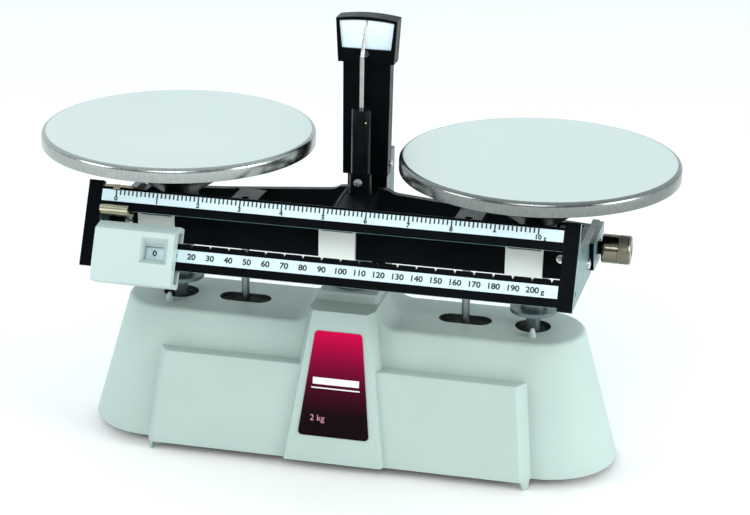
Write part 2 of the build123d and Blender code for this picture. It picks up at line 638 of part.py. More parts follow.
with BuildPart() as beam_casting:
    # front wall
    with BuildSketch(front_view(FRONT_IN)):
        span(-BEAM_HALF, BEAM_HALF, FRONT_BOTTOM, FRONT_TOP)
    extrude(amount=FRONT_IN - FRONT_OUT)
    # back wall
    with BuildSketch(front_view(BACK_OUT)):
        with BuildLine():
            Polyline((-BEAM_HALF, BACK_END_TOP), (-BEAM_HALF, BACK_BOTTOM),
                     (BEAM_HALF, BACK_BOTTOM), (BEAM_HALF, BACK_END_TOP), (80, 137), (20, 142))
            ThreePointArc((20, 142), (17, 142.6), (14, 144.2))
            Polyline((14, 144.2), (0, 146), (-14, 144.2))
            ThreePointArc((-14, 144.2), (-17, 142.6), (-20, 142))
            Polyline((-20, 142), (-80, 137), (-BEAM_HALF, BACK_END_TOP))
        make_face()
    extrude(amount=BACK_OUT - BACK_IN)
    # end walls
    for x in (-BEAM_HALF, BEAM_HALF - END_WALL):
        with BuildSketch(Plane.YZ.offset(x)):
            outline((JOIN_FRONT, FRONT_BOTTOM), (JOIN_BACK, 122), (JOIN_BACK, 134),
                    (JOIN_FRONT, 139))
        extrude(amount=END_WALL)
    # webs that carry the stop rods
    for x in (-STOP_X, STOP_X):
        with BuildSketch(Plane.YZ.offset(x - WEB_HALF)):
            outline((JOIN_FRONT, 137.0), (JOIN_BACK, 134.2), (JOIN_BACK, 138.3),
                    (JOIN_FRONT, 140.9))
        extrude(amount=2 * WEB_HALF)
        # rounded corners where the web meets the back wall
        with BuildSketch(Plane.XY.offset(134.6)):
            for side in (1, -1):
                web_x = x + side * WEB_HALF
                far_x = x + side * (WEB_HALF + WEB_CORNER)
                with BuildLine():
                    Polyline((web_x, BACK_IN - WEB_CORNER), (web_x, JOIN_BACK),
                             (far_x, JOIN_BACK), (far_x, BACK_IN))
                    ThreePointArc((far_x, BACK_IN), (x + side * 8.67, BACK_IN - 1.17),
                                  (web_x, BACK_IN - WEB_CORNER))
                make_face()
        extrude(amount=3.4)
        with BuildSketch(Plane.XY.offset(130)):
            with Locations((x, 0)):
                Circle(5)
        extrude(amount=8)
    # deck over the centre knife, with side ribs
    with BuildSketch(Plane.YZ.offset(-DECK_HALF)):
        outline((JOIN_FRONT, 140.9), (-20, 142.2), (0, 144.2), (JOIN_BACK, 144.2),
                (JOIN_BACK, 141.0), (0, 141.0), (JOIN_FRONT, 139.6))
    extrude(amount=2 * DECK_HALF)
    for x in (-DECK_HALF, DECK_HALF - RIB_W):
        with BuildSketch(Plane.YZ.offset(x)):
            outline((JOIN_FRONT, 134), (JOIN_FRONT, 141.2), (-20, 142.7), (0, 144.7),
                    (JOIN_BACK, 144.7), (JOIN_BACK, 134))
        extrude(amount=RIB_W)
    # pointer boss with a conical foot
    with BuildSketch(Plane.XY.offset(143.5)):
        with Locations((0, POINTER_Y)):
            Circle(BOSS_R)
    extrude(amount=BOSS_TOP - 143.5)
    with BuildSketch(Plane.XY.offset(142)):
        with Locations((0, POINTER_Y)):
            Circle(7.4)
    with BuildSketch(Plane.XY.offset(147)):
        with Locations((0, POINTER_Y)):
            Circle(BOSS_R)
    loft()
    # seats for the three knives
    with BuildSketch(front_view(KNIFE_BACK)):
        knife_section(*CENTRE_KNIFE)
        with Locations((ARM, 0), (-ARM, 0)):
            knife_section(*END_KNIFE)
    extrude(amount=KNIFE_BACK - KNIFE_FRONT, mode=Mode.SUBTRACT)
    # pointer socket, with its screw hole and the flat for the screw head
    with Locations((0, POINTER_Y, BOSS_TOP)):
        Hole(2.6, depth=10)
    with Locations(along_y(0, POINTER_SCREW_Y, POINTER_SCREW_Z)):
        drill(1.3, 8)
        shank(3.0, 4, mode=Mode.SUBTRACT)
    with Locations((STOP_X, 0, STOP_ROD_TOP), (-STOP_X, 0, STOP_ROD_TOP)):
        Hole(STOP_ROD_R, depth=12)
    with Locations(*[along_y(x, -40, z) for x, z in (RIGHT_BLOCK_SCREW, LEFT_BLOCK_SCREW)]):
        drill(1.6, 8)
    # clearance for the fixing screws of the end plates
    for end in (1, -1):
        with Locations(*[along_x(end * (BEAM_HALF - 2), y, z) for y, z in PLATE_SCREWS]):
            drill(1.6, 8)
save(beam_casting, "beam_casting")

# ---------------------------------------------------------------- covers over the knife ends
COVER_HALF = 10                       # half width of a bearing cover
COVER_SIDE_T = 1


def bearing_covers(plate_y, plate_t, sides_y, sides_depth, bottom, plate_top, sides_top):
    """Three bent sheet covers; the y values are back faces, the sheets grow forward."""
    with BuildPart() as covers:
        for x in (-ARM, 0, ARM):
            with BuildSketch(front_view(plate_y)):
                span(x - COVER_HALF, x + COVER_HALF, bottom, plate_top)
            extrude(amount=plate_t)
            for side_x in (x - COVER_HALF, x + COVER_HALF - COVER_SIDE_T):
                with BuildSketch(front_view(sides_y)):
                    span(side_x, side_x + COVER_SIDE_T, bottom, sides_top)
                extrude(amount=sides_depth)
    return covers


save(bearing_covers(plate_y=-43.6, plate_t=1.0, sides_y=FRONT_OUT, sides_depth=2.6,
                    bottom=124.2, plate_top=140, sides_top=140.8), "front_bearing_covers")
save(bearing_covers(plate_y=BACK_OUT + 1.8, plate_t=0.9, sides_y=BACK_OUT + 1.8,
                    sides_depth=1.8, bottom=121, plate_top=134, sides_top=134),
     "rear_bearing_covers")

# ---------------------------------------------------------------- scale frame
ZERO_Z = 129                          # axis of the zero adjuster, at y = 0
ZERO_ROD_R = 2.0
SCALE_L = 250                         # length of the scale beams
UPPER_LOW, UPPER_HIGH = 31.2, 43.5    # edges of the upper scale beam, along s
LOWER_LOW, LOWER_HIGH = 1.9, 16.3     # edges of the lower scale beam
UPPER_BEAM_T, LOWER_BEAM_T = 4, 3
STRIP_T = 0.5                         # scale strips
FLANGE_W, FLANGE_H = 8, 46.5          # flange behind the ends of the scale beams
NOTCH_X = -92.4                       # first notch of the lower scale
NOTCH_PITCH = 10.16                   # one notch per 10 g
NOTCH_COUNT = 22
# (y, z) of an end plate
PLATE_OUTLINE = [(-80.7, 121.4), (-60.2, 163.2), (-57.4, 151.2), (-51.0, 143.2),
                 (-38.4, 139.2), (22, 137.3), (25, 115), (-11, 117)]


def end_plate(end):
    """End plate of the frame: end 1 is the right, -1 the left."""
    middle_x = end * (FRAME_HALF - PLATE_T / 2)
    with BuildPart() as plate:
        with BuildSketch(Plane.YZ.offset(middle_x - PLATE_T / 2)):
            outline(*PLATE_OUTLINE)
        extrude(amount=PLATE_T)
        with BuildSketch(FRAME.offset(-4)):
            with Locations((end * (FRAME_HALF - FLANGE_W / 2), FLANGE_H / 2)):
                Rectangle(FLANGE_W, FLANGE_H)
        extrude(amount=4)
        for y, z in PLATE_SCREWS:
            with Locations(along_x(middle_x, y, z)):
                drill(1.6, 8)
        # small tooling hole near the front
        with Locations(along_x(middle_x, -69.8, 127.5)):
            drill(1.4, 8)
        if end > 0:
            with Locations(along_x(middle_x, 0, ZERO_Z)):
                drill(ZERO_ROD_R + FIT, 10)
    return plate


def scale_strip(low, high):
    with BuildPart() as strip:
        with BuildSketch(FRAME):
            band(249.6, low, high, x=-0.1)
        extrude(amount=STRIP_T)
    return strip


save(end_plate(-1), "left_end_plate")
save(end_plate(1), "right_end_plate")

# the rear screw on the right gives way to the zero adjuster
with BuildPart() as end_plate_screws:
    for end, positions in ((1, PLATE_SCREWS[:1]), (-1, PLATE_SCREWS)):
        for y, z in positions:
            with Locations(along_x(end * FRAME_HALF, y, z, end)):
                screw(2.9, 1.5, 1.5, 7.5)
save(end_plate_screws, "end_plate_screws")

with BuildPart() as upper_scale_beam:
    with BuildSketch(FRAME.offset(-UPPER_BEAM_T)):
        band(SCALE_L, UPPER_LOW, UPPER_HIGH)
    extrude(amount=UPPER_BEAM_T)
    fillet(upper_scale_beam.edges().filter_by(Axis.X), 0.5)
save(upper_scale_beam, "upper_scale_beam")

with BuildPart() as lower_scale_beam:
    with BuildSketch(FRAME.offset(-LOWER_BEAM_T)):
        band(SCALE_L, LOWER_LOW, LOWER_HIGH)
        for notch in range(NOTCH_COUNT):
            with Locations((NOTCH_X + NOTCH_PITCH * notch, LOWER_HIGH)):
                outline((-0.85, 0.1), (0.85, 0.1), (0.12, -1.7), (-0.12, -1.7),
                        mode=Mode.SUBTRACT)
    extrude(amount=LOWER_BEAM_T)
save(lower_scale_beam, "lower_scale_beam")

save(scale_strip(35.8, 42.0), "upper_scale_strip")
save(scale_strip(6.5, 13.1), "lower_scale_strip")

# ---------------------------------------------------------------- blocks in the casting's ends
# (y, z) sections
COUNTERWEIGHT_SECTION = [(-37.9, 123), (18.9, 123), (18.9, 133.5), (-20, 134.5),
                         (-20, 138.7), (-37.9, 138.9)]
LEFT_BLOCK_SECTION = [(-37.9, 126), (-24, 126), (-24, 138.2), (-37.9, 138.6)]


def end_block(section, x_start, length, front_screw, hole_y, hole_length, plate_hole_x):
    """Block with a hole for the front wall screw and one for an end plate screw."""
    screw_x, screw_z = front_screw
    with BuildPart() as block:
        with BuildSketch(Plane.YZ.offset(x_start)):
            outline(*section)
        extrude(amount=length)
        fillet(block.edges().filter_by(Axis.Z), 1.0)
        with Locations(along_y(screw_x, hole_y, screw_z)):
            drill(1.55, hole_length)
        with Locations(along_x(plate_hole_x, *PLATE_SCREWS[0])):
            drill(1.7, 6)
    return block


save(end_block(COUNTERWEIGHT_SECTION, x_start=112, length=13, front_screw=RIGHT_BLOCK_SCREW,
               hole_y=-36, hole_length=14, plate_hole_x=124), "counterweight")
save(end_block(LEFT_BLOCK_SECTION, x_start=-124.8, length=12, front_screw=LEFT_BLOCK_SCREW,
               hole_y=-34, hole_length=12, plate_hole_x=-124), "left_end_block")

with BuildPart() as end_block_screws:
    for x, z in (RIGHT_BLOCK_SCREW, LEFT_BLOCK_SCREW):
        with Locations(along_y(x, FRONT_OUT, z, -1)):
            screw(2.6, 1.5, 1.5, 10.0)
save(end_block_screws, "end_block_screws")

# ---------------------------------------------------------------- stop rods
STOP_ROD_BOTTOM = 62.0
WASHER_TOP, WASHER_T = 70.4, 2.4
NUT_T = 3.6
STOP_BORE_R = 2.3                     # bore of the washers and nuts

with BuildPart() as stop_rods:
    for end in (1, -1):
        with Locations((end * STOP_X, 0, STOP_ROD_BOTTOM)):
            post(STOP_ROD_R, STOP_ROD_TOP - STOP_ROD_BOTTOM)
save(stop_rods, "stop_rods")

with BuildPart() as stop_washers:
    for end in (1, -1):
        with BuildSketch(Plane.XY.offset(WASHER_TOP - WASHER_T)):
            with Locations((end * STOP_X, 0)):
                Circle(9)
                Circle(STOP_BORE_R, mode=Mode.SUBTRACT)
        extrude(amount=WASHER_T)
save(stop_washers, "stop_washers")

with BuildPart() as stop_nuts:
    for end in (1, -1):
        with BuildSketch(Plane.XY.offset(WASHER_TOP - WASHER_T - NUT_T)):
            with Locations((end * STOP_X, 0)):
                RegularPolygon(4.4, 6)
                Circle(STOP_BORE_R, mode=Mode.SUBTRACT)
        extrude(amount=NUT_T)
save(stop_nuts, "stop_nuts")

# ---------------------------------------------------------------- zero adjuster
LUG_T = 2.5
LUG_SCREW_Y = 8.2
NUT_X, NUT_R = 141.0, 4.2             # left end and radius of the nut inside the knob
KNOB_X0, KNOB_X1 = 137.7, 153.5
KNOB_R = 7.95
# (y, z) of the lug
LUG_OUTLINE = [(-22.5, 138.4), (-16.6, 121.4), (8, 119.5), (12, 124), (21, 125.5), (21, 137.2)]

with BuildPart() as zero_lug:
    with BuildSketch(Plane.YZ.offset(FRAME_HALF)) as lug_sketch:
        outline(*LUG_OUTLINE)
        fillet(lug_sketch.vertices(), 1.5)
        with Locations((0, ZERO_Z), (LUG_SCREW_Y, ZERO_Z)):
            Circle(ZERO_ROD_R + FIT, mode=Mode.SUBTRACT)
    extrude(amount=LUG_T)
save(zero_lug, "zero_lug")

with BuildPart() as zero_screw:
    with Locations(along_x(FRAME_HALF - PLATE_T, 0, ZERO_Z)):
        post(ZERO_ROD_R, 22.0)
        # collar against the lug
        with Locations((0, 0, PLATE_T + LUG_T)):
            post(3.7, 2.6)
save(zero_screw, "zero_screw")

with BuildPart() as lug_screw:
    with Locations(along_x(FRAME_HALF + LUG_T, LUG_SCREW_Y, ZERO_Z)):
        screw(2.6, 1.0, 1.5, 2.4)
save(lug_screw, "lug_screw")

with BuildPart() as zero_nut:
    # body, then the flange at its left end
    for radius, length in ((NUT_R, 10.5), (5.4, 1.5)):
        with BuildSketch(Plane.YZ.offset(NUT_X)):
            with Locations((0, ZERO_Z)):
                Circle(radius)
                Circle(ZERO_ROD_R + FIT, mode=Mode.SUBTRACT)
        extrude(amount=length)
save(zero_nut, "zero_nut")

with BuildPart() as zero_knob:
    with BuildSketch(Plane.YZ.offset(KNOB_X0)):
        with Locations((0, ZERO_Z)):
            Circle(KNOB_R)
    extrude(amount=KNOB_X1 - KNOB_X0)
    chamfer(zero_knob.edges().filter_by(GeomType.CIRCLE).group_by(Axis.X)[-1], 1.0)
    chamfer(zero_knob.edges().filter_by(GeomType.CIRCLE).group_by(Axis.X)[0], 0.5)
    # stepped bore: flange, nut body, rod
    with Locations(along_x(KNOB_X0, 0, ZERO_Z)):
        post(5.5, 4.9, mode=Mode.SUBTRACT)
        post(NUT_R + FIT, 13.9, mode=Mode.SUBTRACT)
        post(2.3, 30, mode=Mode.SUBTRACT)
save(zero_knob, "zero_knob")

# ---------------------------------------------------------------- pointer
SLEEVE_Z, SLEEVE_H = BOSS_TOP + FIT, 37.2
POINTER_R = 1.3

with BuildPart() as pointer_sleeve:
    with BuildSketch(Plane.XY.offset(SLEEVE_Z)):
        with Locations((0, POINTER_Y)):
            Circle(5.3)
    extrude(amount=SLEEVE_H)
    chamfer(pointer_sleeve.edges().group_by(Axis.Z)[-1], 0.5)
    # spigot in the socket of the beam
    with BuildSketch(Plane.XY.offset(146.5)):
        with Locations((0, POINTER_Y)):
            Circle(2.55)
    extrude(amount=10)
    with Locations((0, POINTER_Y, SLEEVE_Z + SLEEVE_H)):
        Hole(POINTER_R + FIT, depth=30)
save(pointer_sleeve, "pointer_sleeve")

with BuildPart() as pointer_rod:
    with BuildSketch(Plane.XY.offset(164)):
        with Locations((0, POINTER_Y)):
            Circle(POINTER_R)
    extrude(amount=59)
    # bend towards the dial, tapering to the tip
    with BuildSketch(Plane.XY.offset(222.9)):
        with Locations((0, POINTER_Y)):
            Circle(POINTER_R)
    with BuildSketch(Plane(origin=(0, 11.4, 226.0), x_dir=(1, 0, 0), z_dir=(0, 0.5, 0.866))):
        Circle(1.15)
    with BuildSketch(Plane(origin=(0, 17.4, 238.6), x_dir=(1, 0, 0), z_dir=(0, 0.43, 0.9))):
        Circle(0.45)
    loft(ruled=True)
save(pointer_rod, "pointer_rod")

with BuildPart() as pointer_screw:
    with Locations(along_y(0, POINTER_SCREW_Y, POINTER_SCREW_Z, -1)):
        screw(2.4, 1.4, 1.2, 2.95)
save(pointer_screw, "pointer_screw")

# ================================================================ pan supports and pans
COLUMN_R, STEM_R = 7.3, 3.9
FLANGE_R, FLANGE_Z = 13.2, 89         # flange round the foot of the column
YOKE_TOP = 141
STUD_R = 4.0
STUD_BOTTOM = 151
DISH_TOP = 168                        # top of the dish's hub
PAN_R = 152.4 / 2
PAN_TOP, PAN_RIM = 177.2, 169.4       # top face and lower edge of a pan
PAN_T = 1.2
PAN_BEND = 2.4                        # outer bend radius of the rim
# (y, z) of the yoke over the beam
YOKE_OUTLINE = [(-35, 134), (-35, 138.4), (-9, 141), (9, 141), (16.2, 138.4), (16.2, 134)]
# (radius, z) of the dish under a pan
DISH_PROFILE = [(0, YOKE_TOP), (10.8, YOKE_TOP), (27, 152), (47.5, 173.6), (49.2, 174.0),
                (49.2, 176), (46.6, 176), (25.9, 154.0), (10.0, 143.4), (7.0, 143.4),
                (7.0, DISH_TOP), (0, DISH_TOP)]


def pan_support(x):
    with BuildPart() as support:
        # column
        with BuildSketch(Plane.XY.offset(90)):
            with Locations((x, 0)):
                Circle(COLUMN_R)
        extrude(amount=44)
        # flange with a shallow cone underneath
        with BuildSketch(Plane.XY.offset(FLANGE_Z)):
            with Locations((x, 0)):
                Circle(FLANGE_R)
        extrude(amount=2.2)
        with BuildSketch(Plane.XY.offset(FLANGE_Z - 1.6)):
            with Locations((x, 0)):
                Circle(7.0)
        with BuildSketch(Plane.XY.offset(FLANGE_Z)):
            with Locations((x, 0)):
                Circle(FLANGE_R)
        loft()
        # stem down to the check link, flattened to an eye at the pivot
        with BuildSketch(Plane.XY.offset(30)):
            with Locations((x, 0)):
                Circle(STEM_R)
        extrude(amount=58)
        with BuildSketch(front_view(2)):
            with Locations((x, 0)):
                outline((-STEM_R, 32), (STEM_R, 32), (STEM_R, LINK_Z), (-STEM_R, LINK_Z))
                with Locations((0, LINK_Z)):
                    Circle(4.4)
        extrude(amount=4)
        # yoke over the beam
        with BuildSketch(Plane.YZ.offset(x - 6)):
            outline(*YOKE_OUTLINE)
        extrude(amount=12)
        with BuildSketch(Plane.XY.offset(YOKE_TOP - 3)):
            with Locations((x, 0)):
                Circle(10.5)
        extrude(amount=3)
        # window for the knife
        with BuildSketch(front_view(20)):
            with Locations((x, 0)):
                span(-4.6, 4.6, 122.5, YOKE_SEAT)
        extrude(amount=40, mode=Mode.SUBTRACT)
        with Locations(along_y(x, 0, LINK_Z)):
            drill(LINK_PIN_R + FIT, 20)
        # socket that locates the dish
        with Locations((x, 0, YOKE_TOP)):
            Hole(3.0, depth=6.5)
    return support


def pan_dish(x):
    with BuildPart() as dish:
        with BuildSketch(Plane.XZ):
            with Locations((x, 0)):
                outline(*DISH_PROFILE)
        revolve(axis=Axis((x, 0, 0), (0, 0, 1)), revolution_arc=360)
        # spigot in the socket of the support
        with BuildSketch(Plane.XY.offset(135)):
            with Locations((x, 0)):
                Circle(2.95)
        extrude(amount=7)
        with Locations((x, 0, DISH_TOP)):
            Hole(STUD_R + FIT, depth=22)
    return dish


def pan(x):
    outer, inner = x + PAN_R, x + PAN_R - PAN_T
    bend_x, bend_z = outer - PAN_BEND, PAN_TOP - PAN_BEND
    under = PAN_TOP - PAN_T
    with BuildPart() as plate:
        with BuildSketch(Plane.XZ):
            with BuildLine():
                Polyline((x, under), (x, PAN_TOP), (bend_x, PAN_TOP))
                ThreePointArc((bend_x, PAN_TOP), (outer - 0.703, PAN_TOP - 0.703),
                              (outer, bend_z))
                Polyline((outer, bend_z), (outer, PAN_RIM), (inner, PAN_RIM), (inner, bend_z))
                ThreePointArc((inner, bend_z), (outer - 1.5515, PAN_TOP - 1.5515),
                              (bend_x, under))
                Line((bend_x, under), (x, under))
            make_face()
        revolve(axis=Axis((x, 0, 0), (0, 0, 1)), revolution_arc=360)
    return plate


def pan_stud(x):
    top = PAN_TOP - PAN_T
    with BuildPart() as stud:
        with BuildSketch(Plane.XY.offset(STUD_BOTTOM)):
            with Locations((x, 0)):
                Circle(STUD_R)
        extrude(amount=top - STUD_BOTTOM)
        chamfer(stud.edges().group_by(Axis.Z)[0], 0.8)
        with BuildSketch(Plane.XY.offset(top - 1.5)):
            with Locations((x, 0)):
                Circle(14)
        extrude(amount=1.5)
    return stud


for side_name, pan_x in (("left", -ARM), ("right", ARM)):
    save(pan_support(pan_x), side_name + "_pan_support")
    save(bearing_blocks(pan_x, -1, YOKE_SEAT), side_name + "_bearings")
    save(pan_dish(pan_x), side_name + "_pan_dish")
    save(pan(pan_x), side_name + "_pan")
    save(pan_stud(pan_x), side_name + "_pan_stud")

# ================================================================ small poise
# folded plate that hangs on the upper scale beam, with a turned weight in front
SMALL_X1, SMALL_L = -108.4, 15.6      # right end, length
# (off, s) of the folded plate and of the index finger over the front of the scale
SMALL_SECTION = [(0.2, 43.6), (0.2, 44.8), (-6.0, 44.8), (-6.0, 28.6), (2.9, 28.6),
                 (2.9, 29.8), (-4.9, 29.8), (-4.9, 43.6)]
FINGER_SECTION = [(-1, 43.6), (-1, 44.8), (1.5, 44.8), (1.5, 42.4), (0.9, 41.8),
                  (0.7, 43.4), (0.2, 43.6)]

with BuildPart() as small_poise:
    with BuildSketch(profile_plane(SMALL_X1)):
        outline(*SMALL_SECTION)
    extrude(amount=SMALL_L)
    fillet(small_poise.edges().filter_by(Axis.X).group_by(SortBy.LENGTH)[-1], 0.3)
    with BuildSketch(profile_plane(-115.2)):
        outline(*FINGER_SECTION)
    extrude(amount=3.6)
    # turned weight
    with Locations(along_x(*frame_point(SMALL_X1 - SMALL_L / 2, off=2.9, s=31.4))):
        Cylinder(2.15, SMALL_L)
save(small_poise, "small_poise")

# ================================================================ large poise
# box section hooked around the lower scale beam, with a bevelled reading window
LARGE_X0, LARGE_X1 = -123.8, -79.4
# (off, s)
LARGE_SECTION = [(8, 2.0), (8, 20.3), (0.5, 25), (-8, 25), (-8, 16.6), (-5.6, 16.6),
                 (-5.6, 22.2), (-0.5, 22.2), (1.2, 20.5), (1.2, -5.6), (-5.6, -5.6),
                 (-5.6, 1.6), (-8, 1.6), (-8, -6.2), (-6.2, -8), (5.6, -8), (6.4, -7.2)]
DETENT_OFF = -3.2                     # line of the detent screws
DETENT_SCREWS = [(-118, 0, 0), (-110, 0, 0)]
DETENT_HOLES = up_slope(DETENT_OFF, 22.0)

with BuildPart() as large_poise:
    with BuildSketch(profile_plane(LARGE_X1)):
        outline(*LARGE_SECTION)
    extrude(amount=LARGE_X1 - LARGE_X0)
    # long edges at the front and along the top
    long_edges = [edge for edge in large_poise.edges().filter_by(Axis.X)
                  if (edge.center() - FRAME.origin).dot(Vector(*OFF_DIR)) > 6
                  or (edge.center() - FRAME.origin).dot(Vector(*UP_DIR)) > 24.5]
    fillet(long_edges, 0.8)
    # window through the front wall, bevelled towards the front
    with BuildSketch(FRAME):
        with Locations((-91.2, 9.75)):
            Rectangle(10.6, 7.0)
    extrude(amount=9, mode=Mode.SUBTRACT)
    with BuildSketch(FRAME.offset(3.2)):
        with Locations((-91.2, 9.9)):
            Rectangle(10.6, 7.2)
    with BuildSketch(FRAME.offset(8.05)):
        with Locations((-90.25, 10.5)):
            Rectangle(15.5, 13.9)
    loft(ruled=True, mode=Mode.SUBTRACT)
    # holes for the detent screws, in the top wall
    with Locations(DETENT_HOLES):
        with Locations(*DETENT_SCREWS):
            drill(1.05, 12)
save(large_poise, "large_poise")

# leaf spring inside the poise, its tooth resting in the second notch of the lower beam
TOOTH_X = NOTCH_X + NOTCH_PITCH
# (x, s)
SPRING_OUTLINE = [(-122, 22.15), (-122, 21.65), (-100, 21.65), (-96, 20.4),
                  (TOOTH_X - 1.1, 17.6), (TOOTH_X - 0.12, 14.75), (TOOTH_X + 0.12, 14.75),
                  (TOOTH_X + 1.1, 18.2), (TOOTH_X + 0.6, 18.3), (TOOTH_X, 16.4),
                  (TOOTH_X - 0.7, 18.3), (-95.8, 20.95), (-99.9, 22.15)]

with BuildPart() as detent_spring:
    with BuildSketch(FRAME.offset(-5.4)):
        outline(*SPRING_OUTLINE)
    extrude(amount=4.6)
    with Locations(DETENT_HOLES):
        with Locations(*DETENT_SCREWS):
            drill(1.05, 12)
save(detent_spring, "detent_spring")

# heads below the spring, shanks up into the top wall
with BuildPart() as detent_screws:
    with Locations(up_slope(DETENT_OFF, 21.6)):
        with Locations(*DETENT_SCREWS):
            shank(1.7, 1.0)
            post(1.0, 2.6)
save(detent_screws, "detent_screws")
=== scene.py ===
"""Two-pan beam balance: finishes and detailed pieces over the CAD frame, with floor and lights.

The beam and its scales run along X. Front is -Y, up is +Z and the floor is z = 0.
Shapes are worked out in millimetres and stored in metres.
"""
import math

import bmesh
import bpy
from mathutils import Matrix, Vector


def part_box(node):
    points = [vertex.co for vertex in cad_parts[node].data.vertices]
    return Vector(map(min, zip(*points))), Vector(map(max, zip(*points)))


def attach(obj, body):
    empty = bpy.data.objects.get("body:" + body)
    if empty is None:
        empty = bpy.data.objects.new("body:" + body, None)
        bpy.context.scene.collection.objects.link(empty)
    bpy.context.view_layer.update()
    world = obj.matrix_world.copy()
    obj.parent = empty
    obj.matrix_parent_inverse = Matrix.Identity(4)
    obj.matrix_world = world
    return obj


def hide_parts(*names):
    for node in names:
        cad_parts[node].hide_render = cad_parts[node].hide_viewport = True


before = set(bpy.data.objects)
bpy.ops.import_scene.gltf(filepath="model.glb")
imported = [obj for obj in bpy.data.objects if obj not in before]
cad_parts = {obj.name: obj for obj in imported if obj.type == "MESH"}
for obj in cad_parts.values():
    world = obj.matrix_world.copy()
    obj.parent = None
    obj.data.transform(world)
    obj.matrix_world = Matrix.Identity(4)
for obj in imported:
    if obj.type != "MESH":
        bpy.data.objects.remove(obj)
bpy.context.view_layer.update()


MM = 0.001
MATERIALS = {}

# Finish of each CAD node: material name, then the nodes that wear it
NODE_FINISHES = {
    "base_enamel": "base_shell",
    "poise_enamel": "large_poise",
    "black_paint": "mast_bracket left_end_plate right_end_plate upper_scale_beam "
                   "lower_scale_beam zero_lug zero_screw",
    "black_dish_paint": "pointer_mast dial_housing left_pan_dish right_pan_dish",
    "black_cast_paint": "beam_casting",
    "black_anodised": "pointer_sleeve",
    "zinc_casting": "centre_pillar left_pan_support right_pan_support "
                    "left_pan_stud right_pan_stud",
    "zinc_plated_screw": "cover_screws pillar_bolt bracket_screws mast_screws "
                         "link_bracket_screws end_plate_screws end_block_screws lug_screw "
                         "pointer_screw detent_screws left_pan right_pan",
    "drawn_steel_rod": "link_pivot_pin link_end_pins",
    "nickel_pointer": "pointer_rod",
    "hardened_knife_steel": "centre_knife left_knife right_knife",
    "agate_bearing": "centre_bearings left_bearings right_bearings",
    "satin_cover_sheet": "front_bearing_covers rear_bearing_covers",
    "nickelled_brass": "zero_nut small_poise",
    "nickelled_knob": "zero_knob",
    "dull_washer": "stop_rods stop_washers stop_nuts",
    "dark_steel": "dial_rivet",
    "spring_steel": "detent_spring",
    "grey_iron_weight": "counterweight left_end_block",
    "phosphated_link": "link_bracket check_link",
    "grey_cover_paint": "bottom_cover",
    "pale_scale_strip": "upper_scale_strip lower_scale_strip",
    "white_dial_enamel": "dial_face",
    "printed_plate": "pedestal_label",
}


# =============================================================== node helpers
class Graph:
    """Short calls for building one node tree."""

    def __init__(self, tree):
        self.tree = tree

    def feed(self, node, inputs):
        """Link each input that is given a socket, and set the others to their value."""
        for key, value in inputs.items():
            socket = node.inputs[key]
            if isinstance(value, bpy.types.NodeSocket):
                self.tree.links.new(value, socket)
            elif socket.type == "RGBA":
                socket.default_value = (*value, 1.0)
            else:
                socket.default_value = value

    def add(self, kind, inputs=None, **settings):
        node = self.tree.nodes.new(kind)
        for key, value in settings.items():
            setattr(node, key, value)
        self.feed(node, inputs or {})
        return node

    def mapping(self, vector, scale=(1, 1, 1), location=(0, 0, 0)):
        inputs = {"Vector": vector, "Scale": scale, "Location": location}
        return self.add("ShaderNodeMapping", inputs).outputs["Vector"]

    def noise(self, vector, scale, detail=3.0, rough=0.55):
        inputs = {"Vector": vector, "Scale": scale, "Detail": detail, "Roughness": rough}
        return self.add("ShaderNodeTexNoise", inputs).outputs["Fac"]

    def remap(self, value, source=(0.3, 0.7), to=(0.0, 1.0)):
        """Clamped linear map; the default source is the usual spread of a noise."""
        inputs = {"Value": value, "From Min": source[0], "From Max": source[1],
                  "To Min": to[0], "To Max": to[1]}
        return self.add("ShaderNodeMapRange", inputs).outputs["Result"]

    def mix(self, factor, first, second):
        """Blend two colours; sockets 0, 6 and 7 are the factor and the colours."""
        inputs = {0: factor, 6: first, 7: second}
        return self.add("ShaderNodeMix", inputs, data_type="RGBA").outputs[2]

    def math(self, operation, first, second=0.0):
        inputs = {0: first, 1: second}
        return self.add("ShaderNodeMath", inputs, operation=operation).outputs[0]

    def bump(self, height, strength, depth):
        inputs = {"Height": height, "Strength": strength, "Distance": depth}
        return self.add("ShaderNodeBump", inputs).outputs["Normal"]

    def split(self, vector):
        return self.add("ShaderNodeSeparateXYZ", {0: vector}).outputs

    def facing(self):
        """0 where a face looks at the viewer, 1 at grazing view."""
        return self.add("ShaderNodeLayerWeight", {"Blend": 0.5}).outputs["Facing"]


def new_material(name):
    """Register a material; its graph carries the shader node and the object position."""
    material = bpy.data.materials.new(name)
    material.use_nodes = True
    material.node_tree.nodes.clear()
    g = Graph(material.node_tree)
    output = g.add("ShaderNodeOutputMaterial")
    g.shader = g.add("ShaderNodeBsdfPrincipled")
    g.feed(output, {"Surface": g.shader.outputs["BSDF"]})
    g.position = g.add("ShaderNodeTexCoord").outputs["Object"]
    MATERIALS[name] = material
    return g


def shade(colour, factor):
    return tuple(channel * factor for channel in colour)


# =============================================================== general finish
def darken_openings(g, colour, dark, x_range, half_y, top_z):
    """Painted shade: turn the colour dark below the top face, inside two holes mirrored in x."""
    xyz = g.split(g.position)
    x = g.math("ABSOLUTE", xyz["X"])
    x_near, x_far = x_range
    inside = g.math("MULTIPLY", g.remap(x, source=(x_near - 0.001, x_near)),
                    g.remap(x, source=(x_far, x_far + 0.001), to=(1.0, 0.0)))
    y = g.math("ABSOLUTE", xyz["Y"])
    across = g.remap(y, source=(half_y, half_y + 0.0004), to=(1.0, 0.0))
    inside = g.math("MULTIPLY", inside, across)
    below = g.remap(xyz["Z"], source=(top_z - 0.0004, top_z - 0.00005), to=(1.0, 0.0))
    return g.mix(g.math("MULTIPLY", inside, below), colour, dark)


